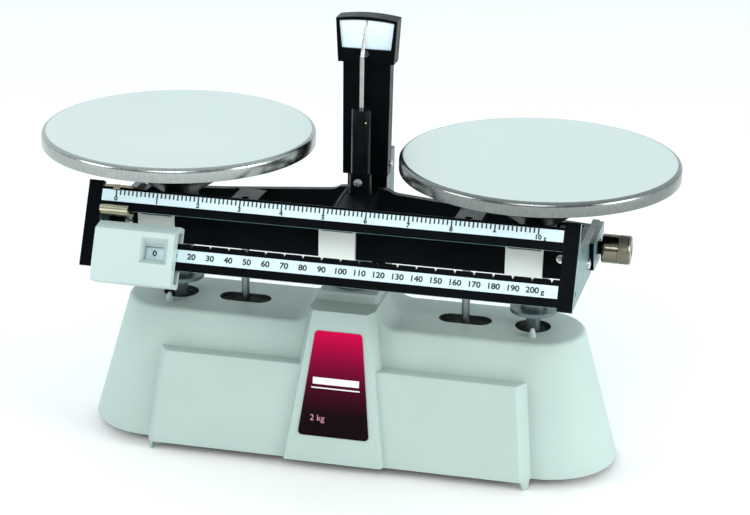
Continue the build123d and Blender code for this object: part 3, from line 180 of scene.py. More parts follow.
def wear_edges(g, colour, worn, amount):
    """Show a paler colour in patches along the edges, found where a bevel turns the normal."""
    bevel = g.add("ShaderNodeBevel", {"Radius": 0.0006}, samples=4)
    geometry = g.add("ShaderNodeNewGeometry")
    dot = g.add("ShaderNodeVectorMath",
                {0: bevel.outputs["Normal"], 1: geometry.outputs["Normal"]},
                operation="DOT_PRODUCT")
    edge = g.remap(dot.outputs["Value"], source=(0.80, 0.97), to=(1.0, 0.0))
    patch = g.remap(g.noise(g.position, scale=260.0, detail=4.0, rough=0.7),
                    source=(0.42, 0.62), to=(0.15, 1.0))
    factor = g.math("MULTIPLY", g.math("MULTIPLY", edge, patch), amount)
    return g.mix(factor, colour, worn)


def surface(name, colour, rough, drift=(0.05, 35.0), grain=(0.12, 1400.0, 0.00012), metal=0.0,
            stretch=None, specular=0.5, coat=None, painted_corner_shade=0.0, opening_shade=None, wear=None,
            painted_graze_sheen=None, graze=None):
    """Paint, casting or metal with a drifting colour, uneven roughness and a fine grain.

    rough: mean, spread, noise scale        drift: colour change, noise scale
    grain: bump strength, noise scale, depth in metres
    stretch: noise scale per axis           coat: weight, roughness
    painted_corner_shade: painted shade in corners    opening_shade: arguments of darken_openings (painted shade)
    wear: edge colour, amount
    painted_graze_sheen: colour painted in at grazing view as a painted reflection; graze: specular
    level at grazing view
    """
    g = new_material(name)
    rough_mean, rough_spread, rough_scale = rough
    drift_amount, drift_scale = drift
    grain_strength, grain_scale, grain_depth = grain
    vector = g.mapping(g.position, scale=stretch) if stretch else g.position
    broad = g.noise(g.position, scale=drift_scale, detail=3.0, rough=0.5)
    fine = g.noise(vector, scale=grain_scale, detail=2.0, rough=0.6)
    shown = g.mix(g.remap(broad), shade(colour, 1 - drift_amount),
                  shade(colour, 1 + drift_amount))
    shown = g.mix(g.remap(fine, source=(0.35, 0.75), to=(0.0, 0.35)), shown,
                  shade(colour, 1 - 1.5 * drift_amount))
    # Painted shade: corners found by an occlusion pass are darkened, standing in for the shade
    # that falls there
    if painted_corner_shade:
        occlusion = g.add("ShaderNodeAmbientOcclusion", {"Distance": 0.012}, samples=4)
        factor = g.remap(occlusion.outputs["AO"], source=(0.35, 1.0), to=(painted_corner_shade, 0.0))
        shown = g.mix(factor, shown, shade(colour, 0.45))
    # Painted shade: near-black inside the two holes in the base top, where shade falls
    if opening_shade:
        shown = darken_openings(g, shown, shade(colour, 0.07), **opening_shade)
    if wear:
        shown = wear_edges(g, shown, *wear)
    # Painted reflection: the colour turns a paler teal towards grazing view, standing in for a
    # lamp's reflection
    if painted_graze_sheen:
        shown = g.mix(g.remap(g.facing(), source=(0.60, 0.88)), shown, painted_graze_sheen)
    uneven = g.noise(vector, scale=rough_scale, detail=4.0, rough=0.6)
    rough_range = (rough_mean - rough_spread, rough_mean + rough_spread)
    g.feed(g.shader, {
        "Base Color": shown, "Roughness": g.remap(uneven, to=rough_range), "Metallic": metal,
        "Specular IOR Level": specular,
        "Normal": g.bump(fine, strength=grain_strength, depth=grain_depth)})
    if graze:
        level = g.remap(g.facing(), source=(0.45, 0.85), to=(specular, graze))
        g.feed(g.shader, {"Specular IOR Level": level})
    if coat:
        g.feed(g.shader, {"Coat Weight": coat[0], "Coat Roughness": coat[1]})


# Enamels
# The base enamel has painted shade in its corners and inside the two holes in its top
surface("base_enamel", colour=(0.43, 0.535, 0.505), rough=(0.42, 0.05, 180), drift=(0.035, 22),
        grain=(0.45, 1700, 0.00016), specular=0.13, painted_corner_shade=0.35,
        wear=((0.62, 0.74, 0.70), 0.5),
        opening_shade={"x_range": (0.047, 0.1125), "half_y": 0.0102, "top_z": 0.0795})
surface("poise_enamel", colour=(0.475, 0.585, 0.57), rough=(0.40, 0.06, 180), drift=(0.02, 40),
        grain=(0.12, 2600, 0.00006), coat=(0.15, 0.3), painted_corner_shade=0.25,
        wear=((0.80, 0.88, 0.86), 0.4))

# Blacks
BLACK = (0.0022, 0.0034, 0.0045)
BLACK_WEAR = ((0.022, 0.028, 0.032), 0.12)
# Black paint with a painted reflection: paler teal at grazing view
surface("black_paint", colour=BLACK, rough=(0.34, 0.07, 180), drift=(0.25, 50),
        grain=(0.10, 1800, 0.00006), wear=BLACK_WEAR, specular=0.02, graze=1.0,
        painted_graze_sheen=(0.075, 0.17, 0.18))
surface("black_dish_paint", colour=BLACK, rough=(0.34, 0.06, 180), drift=(0.25, 50),
        grain=(0.10, 1800, 0.00006), wear=BLACK_WEAR, specular=0.02, graze=0.09)
surface("black_cast_paint", colour=(0.0024, 0.0038, 0.0050), rough=(0.40, 0.06, 180),
        drift=(0.25, 60), grain=(0.22, 1500, 0.00010), wear=((0.024, 0.031, 0.036), 0.25),
        specular=0.03, graze=0.4)
surface("black_anodised", colour=(0.003, 0.0048, 0.0068), rough=(0.33, 0.05, 180),
        drift=(0.2, 50), grain=(0.08, 900, 0.00004), stretch=(1, 1, 0.08), specular=0.07,
        graze=0.5)

# Bare and plated metals
surface("zinc_casting", colour=(0.145, 0.195, 0.20), rough=(0.42, 0.10, 120), drift=(0.10, 80),
        grain=(0.25, 900, 0.00012), metal=0.8, painted_corner_shade=0.4)
surface("zinc_plated_screw", colour=(0.62, 0.64, 0.62), rough=(0.28, 0.08, 180),
        drift=(0.08, 300), grain=(0.1, 1500, 0.00004), metal=1.0)
surface("drawn_steel_rod", colour=(0.60, 0.63, 0.63), rough=(0.24, 0.06, 400),
        drift=(0.06, 120), grain=(0.10, 700, 0.00004), metal=1.0, stretch=(1, 1, 0.05))
surface("nickel_pointer", colour=(0.34, 0.34, 0.325), rough=(0.22, 0.05, 180),
        drift=(0.05, 120), grain=(0.05, 900, 0.00003), metal=1.0, stretch=(1, 1, 0.05))
surface("hardened_knife_steel", colour=(0.55, 0.56, 0.58), rough=(0.18, 0.06, 180),
        drift=(0.06, 35), grain=(0.08, 1200, 0.00003), metal=1.0, stretch=(0.1, 1, 1))
surface("satin_cover_sheet", colour=(0.77, 0.83, 0.785), rough=(0.42, 0.06, 500),
        drift=(0.03, 60), grain=(0.10, 1400, 0.00004), metal=0.15, stretch=(1, 1, 0.1))
surface("nickelled_brass", colour=(0.66, 0.61, 0.44), rough=(0.20, 0.07, 500),
        drift=(0.06, 150), grain=(0.10, 900, 0.00004), metal=1.0, stretch=(0.06, 1, 1))
surface("nickelled_knob", colour=(0.20, 0.185, 0.14), rough=(0.17, 0.06, 600),
        drift=(0.06, 200), grain=(0.10, 1200, 0.00003), metal=1.0, stretch=(1, 0.1, 0.1))
surface("dull_washer", colour=(0.30, 0.33, 0.335), rough=(0.36, 0.08, 180), drift=(0.10, 300),
        grain=(0.12, 1500, 0.00005), metal=1.0)
surface("dark_steel", colour=(0.085, 0.105, 0.11), rough=(0.30, 0.08, 180), drift=(0.10, 300),
        grain=(0.12, 1500, 0.00005), metal=1.0)
surface("spring_steel", colour=(0.50, 0.51, 0.52), rough=(0.26, 0.06, 180), drift=(0.07, 35),
        grain=(0.06, 900, 0.00003), metal=1.0)
surface("grey_iron_weight", colour=(0.10, 0.105, 0.11), rough=(0.6, 0.06, 180),
        drift=(0.2, 150), grain=(0.4, 700, 0.0002), metal=0.6)
surface("phosphated_link", colour=(0.17, 0.18, 0.18), rough=(0.5, 0.06, 180), drift=(0.12, 35),
        grain=(0.2, 900, 0.0001), metal=0.7)
surface("brass_pin", colour=(0.55, 0.40, 0.14), rough=(0.25, 0.06, 180), drift=(0.1, 500),
        grain=(0.05, 1500, 0.00003), metal=1.0)

# Stone, cover paint and inks
surface("agate_bearing", colour=(0.20, 0.11, 0.08), rough=(0.12, 0.03, 180), drift=(0.35, 420),
        grain=(0.03, 900, 0.00002), coat=(0.5, 0.05))
surface("grey_cover_paint", colour=(0.16, 0.18, 0.18), rough=(0.55, 0.06, 180),
        drift=(0.08, 35), grain=(0.2, 1200, 0.0001), painted_corner_shade=0.3)
surface("scale_ink", colour=(0.006, 0.007, 0.009), rough=(0.5, 0.1, 180), drift=(0.3, 600),
        grain=(0.05, 2500, 0.00002))
surface("pale_print", colour=(0.80, 0.80, 0.80), rough=(0.45, 0.06, 180), drift=(0.03, 400),
        grain=(0.04, 2500, 0.00002))
surface("pink_print", colour=(0.55, 0.25, 0.33), rough=(0.45, 0.06, 180), drift=(0.05, 400),
        grain=(0.04, 2500, 0.00002))


# =============================================================== special finishes
def strip_material():
    """Pale scale strip, very finely brushed along its length."""
    g = new_material("pale_scale_strip")
    brushed = g.noise(g.mapping(g.position, scale=(0.04, 1, 1)), scale=2600, detail=2.0, rough=0.6)
    broad = g.noise(g.position, scale=12, detail=2.0, rough=0.5)
    colour = g.mix(g.remap(broad), (0.52, 0.68, 0.74), (0.58, 0.73, 0.79))
    colour = g.mix(g.remap(brushed, to=(0.0, 0.25)), colour, (0.66, 0.78, 0.83))
    g.feed(g.shader, {"Base Color": colour, "Metallic": 0.10,
                      "Roughness": g.remap(brushed, to=(0.36, 0.46)),
                      "Normal": g.bump(brushed, strength=0.06, depth=0.00003)})


def height_fraction(g, node):
    """0 at the bottom of a CAD node, 1 at its top."""
    low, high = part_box(node)
    return g.remap(g.split(g.position)["Z"], source=(low.z, high.z))


def dial_material():
    """White enamel, bluer towards the bottom of the dial."""
    g = new_material("white_dial_enamel")
    broad = g.noise(g.position, scale=90, detail=2.0, rough=0.5)
    colour = g.mix(height_fraction(g, "dial_face"), (0.62, 0.80, 0.92), (0.80, 0.90, 0.95))
    colour = g.mix(g.remap(broad, source=(0.35, 0.65), to=(0.0, 0.2)), colour,
                   (0.90, 0.95, 0.98))
    grain = g.noise(g.position, scale=2200, detail=2.0)
    g.feed(g.shader, {"Base Color": colour, "Roughness": g.remap(broad, to=(0.32, 0.42)),
                      "Normal": g.bump(grain, strength=0.05, depth=0.00003)})


# Colour up the plate: height fraction, colour
PLATE_RAMP = [
    (0.0, (0.0006, 0.0004, 0.0006)), (0.22, (0.003, 0.0004, 0.001)), (0.45, (0.045, 0.0, 0.008)),
    (0.68, (0.18, 0.0, 0.028)), (0.86, (0.38, 0.0, 0.043)), (1.0, (0.62, 0.0, 0.062)),
]


def plate_material():
    """Printed plate: crimson at the top, fading to near-black at the bottom."""
    g = new_material("printed_plate")
    ramp = g.add("ShaderNodeValToRGB", {0: height_fraction(g, "pedestal_label")})
    elements = ramp.color_ramp.elements
    elements[0].color = (*PLATE_RAMP[0][1], 1)
    elements[1].color = (*PLATE_RAMP[-1][1], 1)
    for position, colour in PLATE_RAMP[1:-1]:
        elements.new(position).color = (*colour, 1)
    grain = g.noise(g.position, scale=1800, detail=2.0)
    colour = g.mix(g.remap(grain, to=(0.0, 0.02)), ramp.outputs[0], (0.5, 0.2, 0.25))
    g.feed(g.shader, {"Base Color": colour, "Roughness": g.remap(grain, to=(0.36, 0.44)),
                      "Specular IOR Level": 0.04,
                      "Normal": g.bump(grain, strength=0.05, depth=0.00003)})


def pan_satin_material(name):
    """Satin steel for the flat of a pan."""
    g = new_material(name)
    brushed = g.noise(g.mapping(g.position, scale=(0.10, 1, 1)), scale=2600, detail=2.0, rough=0.6)
    speckle = g.noise(g.position, scale=2200, detail=3.0, rough=0.65)
    broad = g.noise(g.position, scale=9, detail=2.0, rough=0.5)
    colour = g.mix(g.remap(broad), (0.70, 0.765, 0.75), (0.74, 0.80, 0.785))
    colour = g.mix(g.remap(brushed, to=(0.0, 0.3)), colour, (0.66, 0.73, 0.715))
    height = g.math("ADD", g.math("MULTIPLY", brushed, 0.5), g.math("MULTIPLY", speckle, 0.5))
    roughness = g.remap(speckle, source=(0.25, 0.75), to=(0.40, 0.50))
    g.feed(g.shader, {"Base Color": colour, "Roughness": roughness, "Metallic": 1.0,
                      "Normal": g.bump(height, strength=0.10, depth=0.00005)})


def pan_rim_material(name, centre_x, painted_shade_factor):
    """Polished steel for a pan rim; its colour varies in streaks by angle about the pan axis as a
    painted reflection of the surroundings, the same streaks also vary roughness and bump;
    painted_shade_factor scales the colour as painted shade.
    """
    g = new_material(name)
    xyz = g.split(g.mapping(g.position, location=(-centre_x, 0, 0)))
    angle = g.math("ARCTAN2", xyz["Y"], xyz["X"])
    around = g.add("ShaderNodeCombineXYZ", {0: g.math("MULTIPLY", angle, 6.0),
                                            1: g.math("MULTIPLY", xyz["Z"], 25.0)})
    streak_and_reflection = g.noise(around.outputs[0], scale=9.0, detail=4.0, rough=0.65)
    upright = g.noise(g.mapping(g.position, scale=(1, 1, 0.05)), scale=1300, detail=2.0, rough=0.6)
    # Painted reflection and shade: the colour follows the angle streaks like reflected
    # surroundings and is scaled down by the painted shade factor
    colour = g.mix(g.remap(streak_and_reflection), shade((0.34, 0.37, 0.36), painted_shade_factor),
                   shade((0.47, 0.50, 0.485), painted_shade_factor))
    height = g.math("ADD", g.math("MULTIPLY", streak_and_reflection, 0.6), g.math("MULTIPLY", upright, 0.4))
    g.feed(g.shader, {"Base Color": colour, "Roughness": g.remap(streak_and_reflection, to=(0.18, 0.27)),
                      "Metallic": 1.0,
                      "Normal": g.bump(height, strength=0.10, depth=0.00008)})


def floor_material():
    g = new_material("pale_floor")
    broad = g.noise(g.position, scale=3.0, detail=2.0)
    colour = g.mix(g.remap(broad), (0.975, 0.97, 0.97), (0.985, 0.98, 0.98))
    g.feed(g.shader, {"Base Color": colour, "Roughness": 0.9, "Specular IOR Level": 0.1})


strip_material()
dial_material()
plate_material()
floor_material()


# =============================================================== mesh helpers
def box_mm(node):
    """Low and high corners of a CAD node, in mm."""
    return [[value * 1000 for value in corner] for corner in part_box(node)]


def add_mesh(name, part, materials, smooth_angle=30.0):
    """Object from a (vertices in metres, faces) part, sharp above the given angle."""
    verts, faces = part
    mesh = bpy.data.meshes.new(name)
    mesh.from_pydata([tuple(v) for v in verts], [], faces)
    bm = bmesh.new()
    bm.from_mesh(mesh)
    bmesh.ops.remove_doubles(bm, verts=bm.verts, dist=1e-7)
    bmesh.ops.recalc_face_normals(bm, faces=bm.faces)
    bm.to_mesh(mesh)
    bm.free()
    for material in materials:
        mesh.materials.append(MATERIALS[material])
    mesh.shade_smooth()
    mesh.set_sharp_from_angle(angle=math.radians(smooth_angle))
    obj = bpy.data.objects.new(name, mesh)
    bpy.context.scene.collection.objects.link(obj)
    return obj


def stand_in(obj, node, body):
    """Put a detailed piece in the place of its CAD node."""
    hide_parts(node)
    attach(obj, body)


def lathe(profile, centre, axis, segments, shape=None):
    """Surface of revolution; profile: (distance along axis, radius) in mm.

    shape(distance, radius, angle) may return a changed distance and radius.
    """
    along = Vector(axis).normalized()
    side = Vector((0, 0, 1)) if abs(along.z) < 0.9 else Vector((1, 0, 0))
    across = side.cross(along).normalized()
    upward = along.cross(across).normalized()
    centre = Vector(centre)
    verts, faces, rows = [], [], []
    for distance, radius in profile:
        row = []
        for i in range(segments if radius > 1e-6 else 1):
            angle = 2 * math.pi * i / segments
            h, r = shape(distance, radius, angle) if shape else (distance, radius)
            spoke = (across * math.cos(angle) + upward * math.sin(angle)) * r
            row.append(len(verts))
            verts.append((centre + along * h + spoke) * MM)
        rows.append(row)
    for p, q in zip(rows[:-1], rows[1:]):
        for i in range(segments):
            k = (i + 1) % segments
            if len(p) == 1:
                faces.append((p[0], q[i], q[k]))
            elif len(q) == 1:
                faces.append((p[i], p[k], q[0]))
            else:
                faces.append((p[i], p[k], q[k], q[i]))
    return verts, faces


def merged(parts):
    verts, faces = [], []
    for part_verts, part_faces in parts:
        start = len(verts)
        verts += part_verts
        faces += [tuple(i + start for i in face) for face in part_faces]
    return verts, faces


def stroke(place, offsets, low, high, half_width, top_half_width=None, centre=0.0):
    """Thin upright bar, tapered if a top half width is given.

    place(x, height, offset) puts a point in mm on the face that carries the bar.
    """
    top = half_width if top_half_width is None else top_half_width
    ring = [(centre - half_width, low), (centre + half_width, low),
            (centre + top, high), (centre - top, high)]
    verts = [place(x, height, offset) for offset in offsets for x, height in ring]
    faces = [(0, 1, 2, 3), (7, 6, 5, 4), (0, 4, 5, 1), (1, 5, 6, 2), (2, 6, 7, 3), (3, 7, 4, 0)]
    return verts, faces


def text_part(body, place, at, size, half_thickness, weight=0.0, squeeze=1.0):
    """Raised text centred at (x, height, offset) on the face of place."""
    curve = bpy.data.curves.new("text", "FONT")
    curve.body = body
    curve.size = size
    curve.align_x = "CENTER"
    curve.align_y = "CENTER"
    curve.extrude = half_thickness
    curve.offset = weight
    curve.resolution_u = 6
    obj = bpy.data.objects.new("text", curve)
    bpy.context.scene.collection.objects.link(obj)
    bpy.context.view_layer.update()
    depsgraph = bpy.context.evaluated_depsgraph_get()
    mesh = bpy.data.meshes.new_from_object(obj.evaluated_get(depsgraph))
    verts = [place(v.co.x * squeeze + at[0], v.co.y + at[1], v.co.z + at[2])
             for v in mesh.vertices]
    faces = [tuple(p.vertices) for p in mesh.polygons]
    bpy.data.objects.remove(obj)
    bpy.data.curves.remove(curve)
    bpy.data.meshes.remove(mesh)
    return verts, faces


# =============================================================== finish on the CAD nodes
def smooth_by_angle():
    """Node group: weld the tessellation, then shade smooth except across sharp edges."""
    group = bpy.data.node_groups.new("smooth_by_angle", "GeometryNodeTree")
    for direction in ("INPUT", "OUTPUT"):
        group.interface.new_socket("Geometry", in_out=direction,
                                   socket_type="NodeSocketGeometry")
    g = Graph(group)
    source = g.add("NodeGroupInput")
    output = g.add("NodeGroupOutput")
    weld = g.add("GeometryNodeMergeByDistance",
                 {"Geometry": source.outputs[0], "Distance": 1e-6})
    angle = g.add("GeometryNodeInputMeshEdgeAngle").outputs["Unsigned Angle"]
    shallow = g.add("FunctionNodeCompare", {0: angle, 1: math.radians(28)},
                    data_type="FLOAT", operation="LESS_THAN")
    all_faces = g.add("GeometryNodeSetShadeSmooth", {"Geometry": weld.outputs["Geometry"]},
                      domain="FACE")
    edges = g.add("GeometryNodeSetShadeSmooth",
                  {"Geometry": all_faces.outputs["Geometry"],
                   "Shade Smooth": shallow.outputs["Result"]}, domain="EDGE")
    g.feed(output, {0: edges.outputs["Geometry"]})
    return group


def finish_nodes():
    group = smooth_by_angle()
    for material, nodes in NODE_FINISHES.items():
        for node in nodes.split():
            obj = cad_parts[node]
            obj.data.materials.clear()
            obj.data.materials.append(MATERIALS[material])
            # Imported normals would override the smoothing
            if "custom_normal" in obj.data.attributes:
                obj.data.attributes.remove(obj.data.attributes["custom_normal"])
            obj.modifiers.new("smooth", "NODES").node_group = group


finish_nodes()

# =============================================================== pans
PAN_WALL = 1.2
PAN_ROUND = 2.4         # outer radius of the turned-down edge
LIP_ROUND = 0.35        # reach of the eased edges of the lip
LIP_EASE = 0.1          # inset of the point between them


def build_pan(side, rim_painted_shade):
    """Flat disc with a turned-down rim, its axis upright."""
    node = side + "_pan"
    (x0, _, rim), (x1, _, top) = box_mm(node)
    centre_x = (x0 + x1) / 2
    radius = (x1 - x0) / 2
    flat = radius - PAN_ROUND
    inner = radius - PAN_WALL

    def corner(bend):
        angles = [math.radians(90 * k / 8) for k in range(9)]
        return [(top - PAN_ROUND + bend * math.cos(a), flat + bend * math.sin(a))
                for a in angles]

    profile = [(top, flat * fraction) for fraction in (0.0, 0.25, 0.5, 0.75, 0.9)]
    profile += corner(PAN_ROUND)
    profile += [(rim + LIP_ROUND, radius), (rim + LIP_EASE, radius - LIP_EASE),
                (rim, radius - LIP_ROUND), (rim, inner + LIP_ROUND),
                (rim + LIP_EASE, inner + LIP_EASE), (rim + LIP_ROUND, inner)]
    profile += reversed(corner(PAN_ROUND - PAN_WALL))
    profile += [(top - PAN_WALL, flat * 0.5), (top - PAN_WALL, 0.0)]

    pan_satin_material(side + "_pan_satin")
    pan_rim_material(side + "_pan_rim", centre_x * MM, painted_shade_factor=rim_painted_shade)
    part = lathe(profile, (centre_x, 0, 0), axis=(0, 0, 1), segments=224)
    obj = add_mesh(side + "_pan_steel", part, [side + "_pan_satin", side + "_pan_rim"])
    for face in obj.data.polygons:
        x, y = face.center.x * 1000 - centre_x, face.center.y * 1000
        if math.hypot(x, y) > radius - PAN_ROUND * 0.92:
            face.material_index = 1
    stand_in(obj, node, body=node)


# Both rims are the same steel; the factors darken them as painted shade, the right rim much more
# than the left
build_pan("left", rim_painted_shade=0.86)
build_pan("right", rim_painted_shade=0.52)

# =============================================================== zero knob
KNURL_STARTS = 48       # grooves around the band, each way
KNURL_TWIST = 2.9       # phase per mm along the band
KNURL_DEPTH = 0.26
KNURL_FADE = 0.35       # run-out at each end of the band
KNURL_ROWS = 26
BARREL_ROWS = 5


def build_knob():
    """Hollow knob along X with a diamond-knurled band near its right end."""
    (x0, _, z0), (x1, _, z1) = box_mm("zero_knob")
    length = x1 - x0
    outer = (z1 - z0) / 2
    band_x0, band_x1 = x0 + 9.2, x1 - 1.1
    start, end = band_x0 - x0, band_x1 - x0

    # Distance from the left end, radius
    profile = [(0.0, 5.5), (0.0, outer - 0.5), (0.15, outer - 0.18), (0.5, outer)]
    profile += [(0.5 + (start - 0.8 - 0.5) * k / BARREL_ROWS, outer)
                for k in range(1, BARREL_ROWS + 1)]
    # Groove before the band
    profile += [(start - 0.55, outer), (start - 0.40, outer - 0.30), (start - 0.10, outer - 0.30)]
    profile += [(start + (band_x1 - band_x0) * k / KNURL_ROWS, outer)
                for k in range(KNURL_ROWS + 1)]
    # Rounded right end, its small hole, then the stepped bore back to the left end
    profile += [
        (length - 0.95, outer - 0.05), (length - 0.30, outer - 0.62),
        (length - 0.06, outer - 0.95), (length, outer - 1.25), (length, 3.4),
        (length - 0.25, 3.15), (length - 0.25, 2.5), (length - 0.6, 2.3),
        (13.9, 2.3), (13.9, 4.25), (4.9, 4.25), (4.9, 5.5), (0.0, 5.5),
    ]

    def knurl(distance, radius, angle):
        if start <= distance <= end and radius > outer - 0.01:
            phase = 0.5 * KNURL_STARTS * angle
            twist = (distance - start) * KNURL_TWIST
            ridge = min(abs(math.sin(phase + twist)), abs(math.sin(phase - twist)))
            fade = min(1.0, min(distance - start, end - distance) / KNURL_FADE)
            radius = outer - 0.02 - KNURL_DEPTH * (1 - ridge ** 0.7) * fade
        return distance, radius

    part = lathe(profile, (x0, 0, (z0 + z1) / 2), axis=(1, 0, 0), segments=240, shape=knurl)
    obj = add_mesh("zero_knob_knurled", part, ["nickelled_knob"], smooth_angle=35)
    stand_in(obj, "zero_knob", body="zero_knob")


build_knob()

# =============================================================== screws
# Object, CAD node, body it rides, axis (0 x, 1 y, 2 z),
# size: head radius, head height, shank radius, shank length,
# heads: place in the node's box per axis (-1 low, 0 middle, 1 high, None on zero), recess turn
SCREWS = [
    ("pointer_screw_head", "pointer_screw", "beam", 1, (2.4, 1.4, 1.1, 2.7),
     [((None, -1, 0), 0.5)]),
    ("mast_screw_heads", "mast_screws", "base", 0, (1.9, 1.3, 1.1, 3.6),
     [((1, 0, 0), 0.2), ((-1, 0, 0), 0.9)]),
    ("end_plate_screw_heads", "end_plate_screws", "beam", 0, (2.9, 1.5, 1.4, 6.5),
     [((1, -1, 0), 0.4), ((-1, -1, 0), 1.0), ((-1, 1, 0), 0.1)]),
    ("end_block_screw_heads", "end_block_screws", "beam", 1, (2.6, 1.5, 1.4, 9.0),
     [((1, -1, 1), 0.7), ((-1, -1, -1), 0.2)]),
    ("lug_screw_head", "lug_screw", "beam", 0, (2.6, 1.0, 1.4, 2.0),
     [((1, 0, 0), 0.3)]),
    ("bracket_screw_heads", "bracket_screws", "base", 2, (1.85, 1.6, 1.4, 9.0),
     [((1, 0, 1), 0.3), ((-1, 0, 1), 0.8)]),
    ("cover_screw_heads", "cover_screws", "base", 2, (3.6, 2.2, 1.9, 11.0),
     [((-1, -1, -1), 0.5), ((1, -1, -1), 1.5), ((-1, 1, -1), 2.5), ((1, 1, -1), 3.5)]),
]
DOME_RINGS = 18


def clamp(value):
    return max(0.0, min(1.0, value))


def cross_screw(seat, axis, size, turn):
    """Pan-head screw with a cross recess; seat is the middle of the head's underside."""
    radius, height, shank_radius, shank_length = size
    dome = [radius * 0.93 * k / DOME_RINGS for k in range(DOME_RINGS + 1)]
    profile = [(height * (1.0 - 0.28 * (r / radius) ** 2), r) for r in dome]
    profile += [
        (height * 0.60, radius * 0.985), (height * 0.42, radius), (0.0, radius),
        (0.0, shank_radius), (-shank_length + 0.4, shank_radius),
        (-shank_length, shank_radius * 0.6), (-shank_length, 0.0),
    ]

    def arm(along, across):
        """1 inside one arm of the cross, falling to 0 at its sloped walls."""
        return (clamp((0.62 * radius - abs(along)) / (0.18 * radius))
                * clamp((0.13 * radius - abs(across)) / (0.07 * radius)))

    def recess(distance, r, angle):
        if distance > 0:
            x, y = r * math.cos(angle - turn), r * math.sin(angle - turn)
            distance -= max(arm(x, y), arm(y, x)) * 0.55 * height
        return distance, r

    return lathe(profile, seat, axis, segments=64, shape=recess)


def screw_seat(node, axis_index, size, sides):
    """Seat that brings the head flush with the sides of the node's box."""
    radius, height = size[:2]
    seat = []
    for i, (low, high, side) in enumerate(zip(*box_mm(node), sides)):
        inset = height if i == axis_index else radius
        seat.append({None: 0.0, -1: low + inset, 0: (low + high) / 2, 1: high - inset}[side])
    return seat


def build_screws():
    for name, node, body, axis_index, size, heads in SCREWS:
        parts = []
        for sides, turn in heads:
            axis = [0, 0, 0]
            axis[axis_index] = sides[axis_index]
            seat = screw_seat(node, axis_index, size, sides)
            parts.append(cross_screw(seat, axis, size, turn))
        obj = add_mesh(name, merged(parts), ["zinc_plated_screw"], smooth_angle=32)
        stand_in(obj, node, body)


build_screws()

# =============================================================== scale print
# Tilted plane of both scales: x, slope distance up and back, offset out to the front
SLOPE_Y, SLOPE_Z = 0.4417, 0.8971
STRIP_LOW = 6.5         # slope distance of the lower strip's bottom edge
STRIP_FACE = 0.50       # offset of the strip face
INK_THICKNESS = 0.03
INK_MIDDLE = STRIP_FACE + INK_THICKNESS / 2

_, strip_y, strip_z = box_mm("lower_scale_strip")[0]
SCALE_ORIGIN = Vector((0.0, strip_y - (STRIP_LOW * SLOPE_Y - STRIP_FACE * SLOPE_Z),
                       strip_z - STRIP_LOW * SLOPE_Z))

UPPER_ZERO_X = -117.0
TICK_PITCH = 2.286
TICK_HALF_WIDTH = 0.42
TICK_TOP = 41.95
TICK_BOTTOM = {"tenth": 38.35, "fifth": 39.0, "plain": 39.35}
LOWER_ZERO_X = -91.7
LOWER_PITCH = 10.16


def on_scale(x, slope_distance, offset):
    return (SCALE_ORIGIN + Vector((1, 0, 0)) * x + Vector((0, SLOPE_Y, SLOPE_Z)) * slope_distance
            + Vector((0, -SLOPE_Z, SLOPE_Y)) * offset) * MM


def graduations():
    parts = []
    for k in range(101):
        kind = "tenth" if k % 10 == 0 else "fifth" if k % 5 == 0 else "plain"
        parts.append(stroke(on_scale, (STRIP_FACE + INK_THICKNESS, STRIP_FACE),
                            low=TICK_BOTTOM[kind], high=TICK_TOP,
                            half_width=TICK_HALF_WIDTH, centre=UPPER_ZERO_X + TICK_PITCH * k))
    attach(add_mesh("upper_scale_graduations", merged(parts), ["scale_ink"]), "beam")


def scale_numbers(name, figures, slope_distance, style, unit_at, unit_style):
    """Row of (text, x) figures and the unit g at (x, slope distance)."""
    def ink(body, x, height, text_style):
        return text_part(body, on_scale, (x, height, INK_MIDDLE),
                         half_thickness=INK_THICKNESS / 2, **text_style)

    parts = [ink(body, x, slope_distance, style) for body, x in figures]
    parts.append(ink("g", *unit_at, unit_style))
    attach(add_mesh(name, merged(parts), ["scale_ink"]), "beam")


graduations()
scale_numbers("upper_scale_numbers",
              [(str(k), UPPER_ZERO_X + 10 * TICK_PITCH * k) for k in range(11)],
              slope_distance=37.25, style={"size": 3.25, "weight": 0.16, "squeeze": 1.12},
              unit_at=(UPPER_ZERO_X + 100 * TICK_PITCH + 3.6, 37.15),
              unit_style={"size": 2.7, "weight": 0.10})
scale_numbers("lower_scale_numbers",
              [(str(10 * k), LOWER_ZERO_X + LOWER_PITCH * k) for k in range(21)],
              slope_distance=9.72, style={"size": 4.25, "weight": 0.15, "squeeze": 1.10},
              unit_at=(116.9, 9.3),
              unit_style={"size": 3.6, "weight": 0.12, "squeeze": 1.1})


# =============================================================== dial centre line
def dial_line():
    """Short line at the top of the dial face, wider at its top end."""
    (_, face_y, _), (_, _, top) = box_mm("dial_face")
    part = stroke(lambda x, z, y: Vector((x, y, z)) * MM, (face_y - 0.04, face_y + 0.02),
                  low=top - 3.4, high=top - 0.25, half_width=0.16, top_half_width=0.34)
    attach(add_mesh("dial_centre_line", part, ["scale_ink"]), "base")


dial_line()

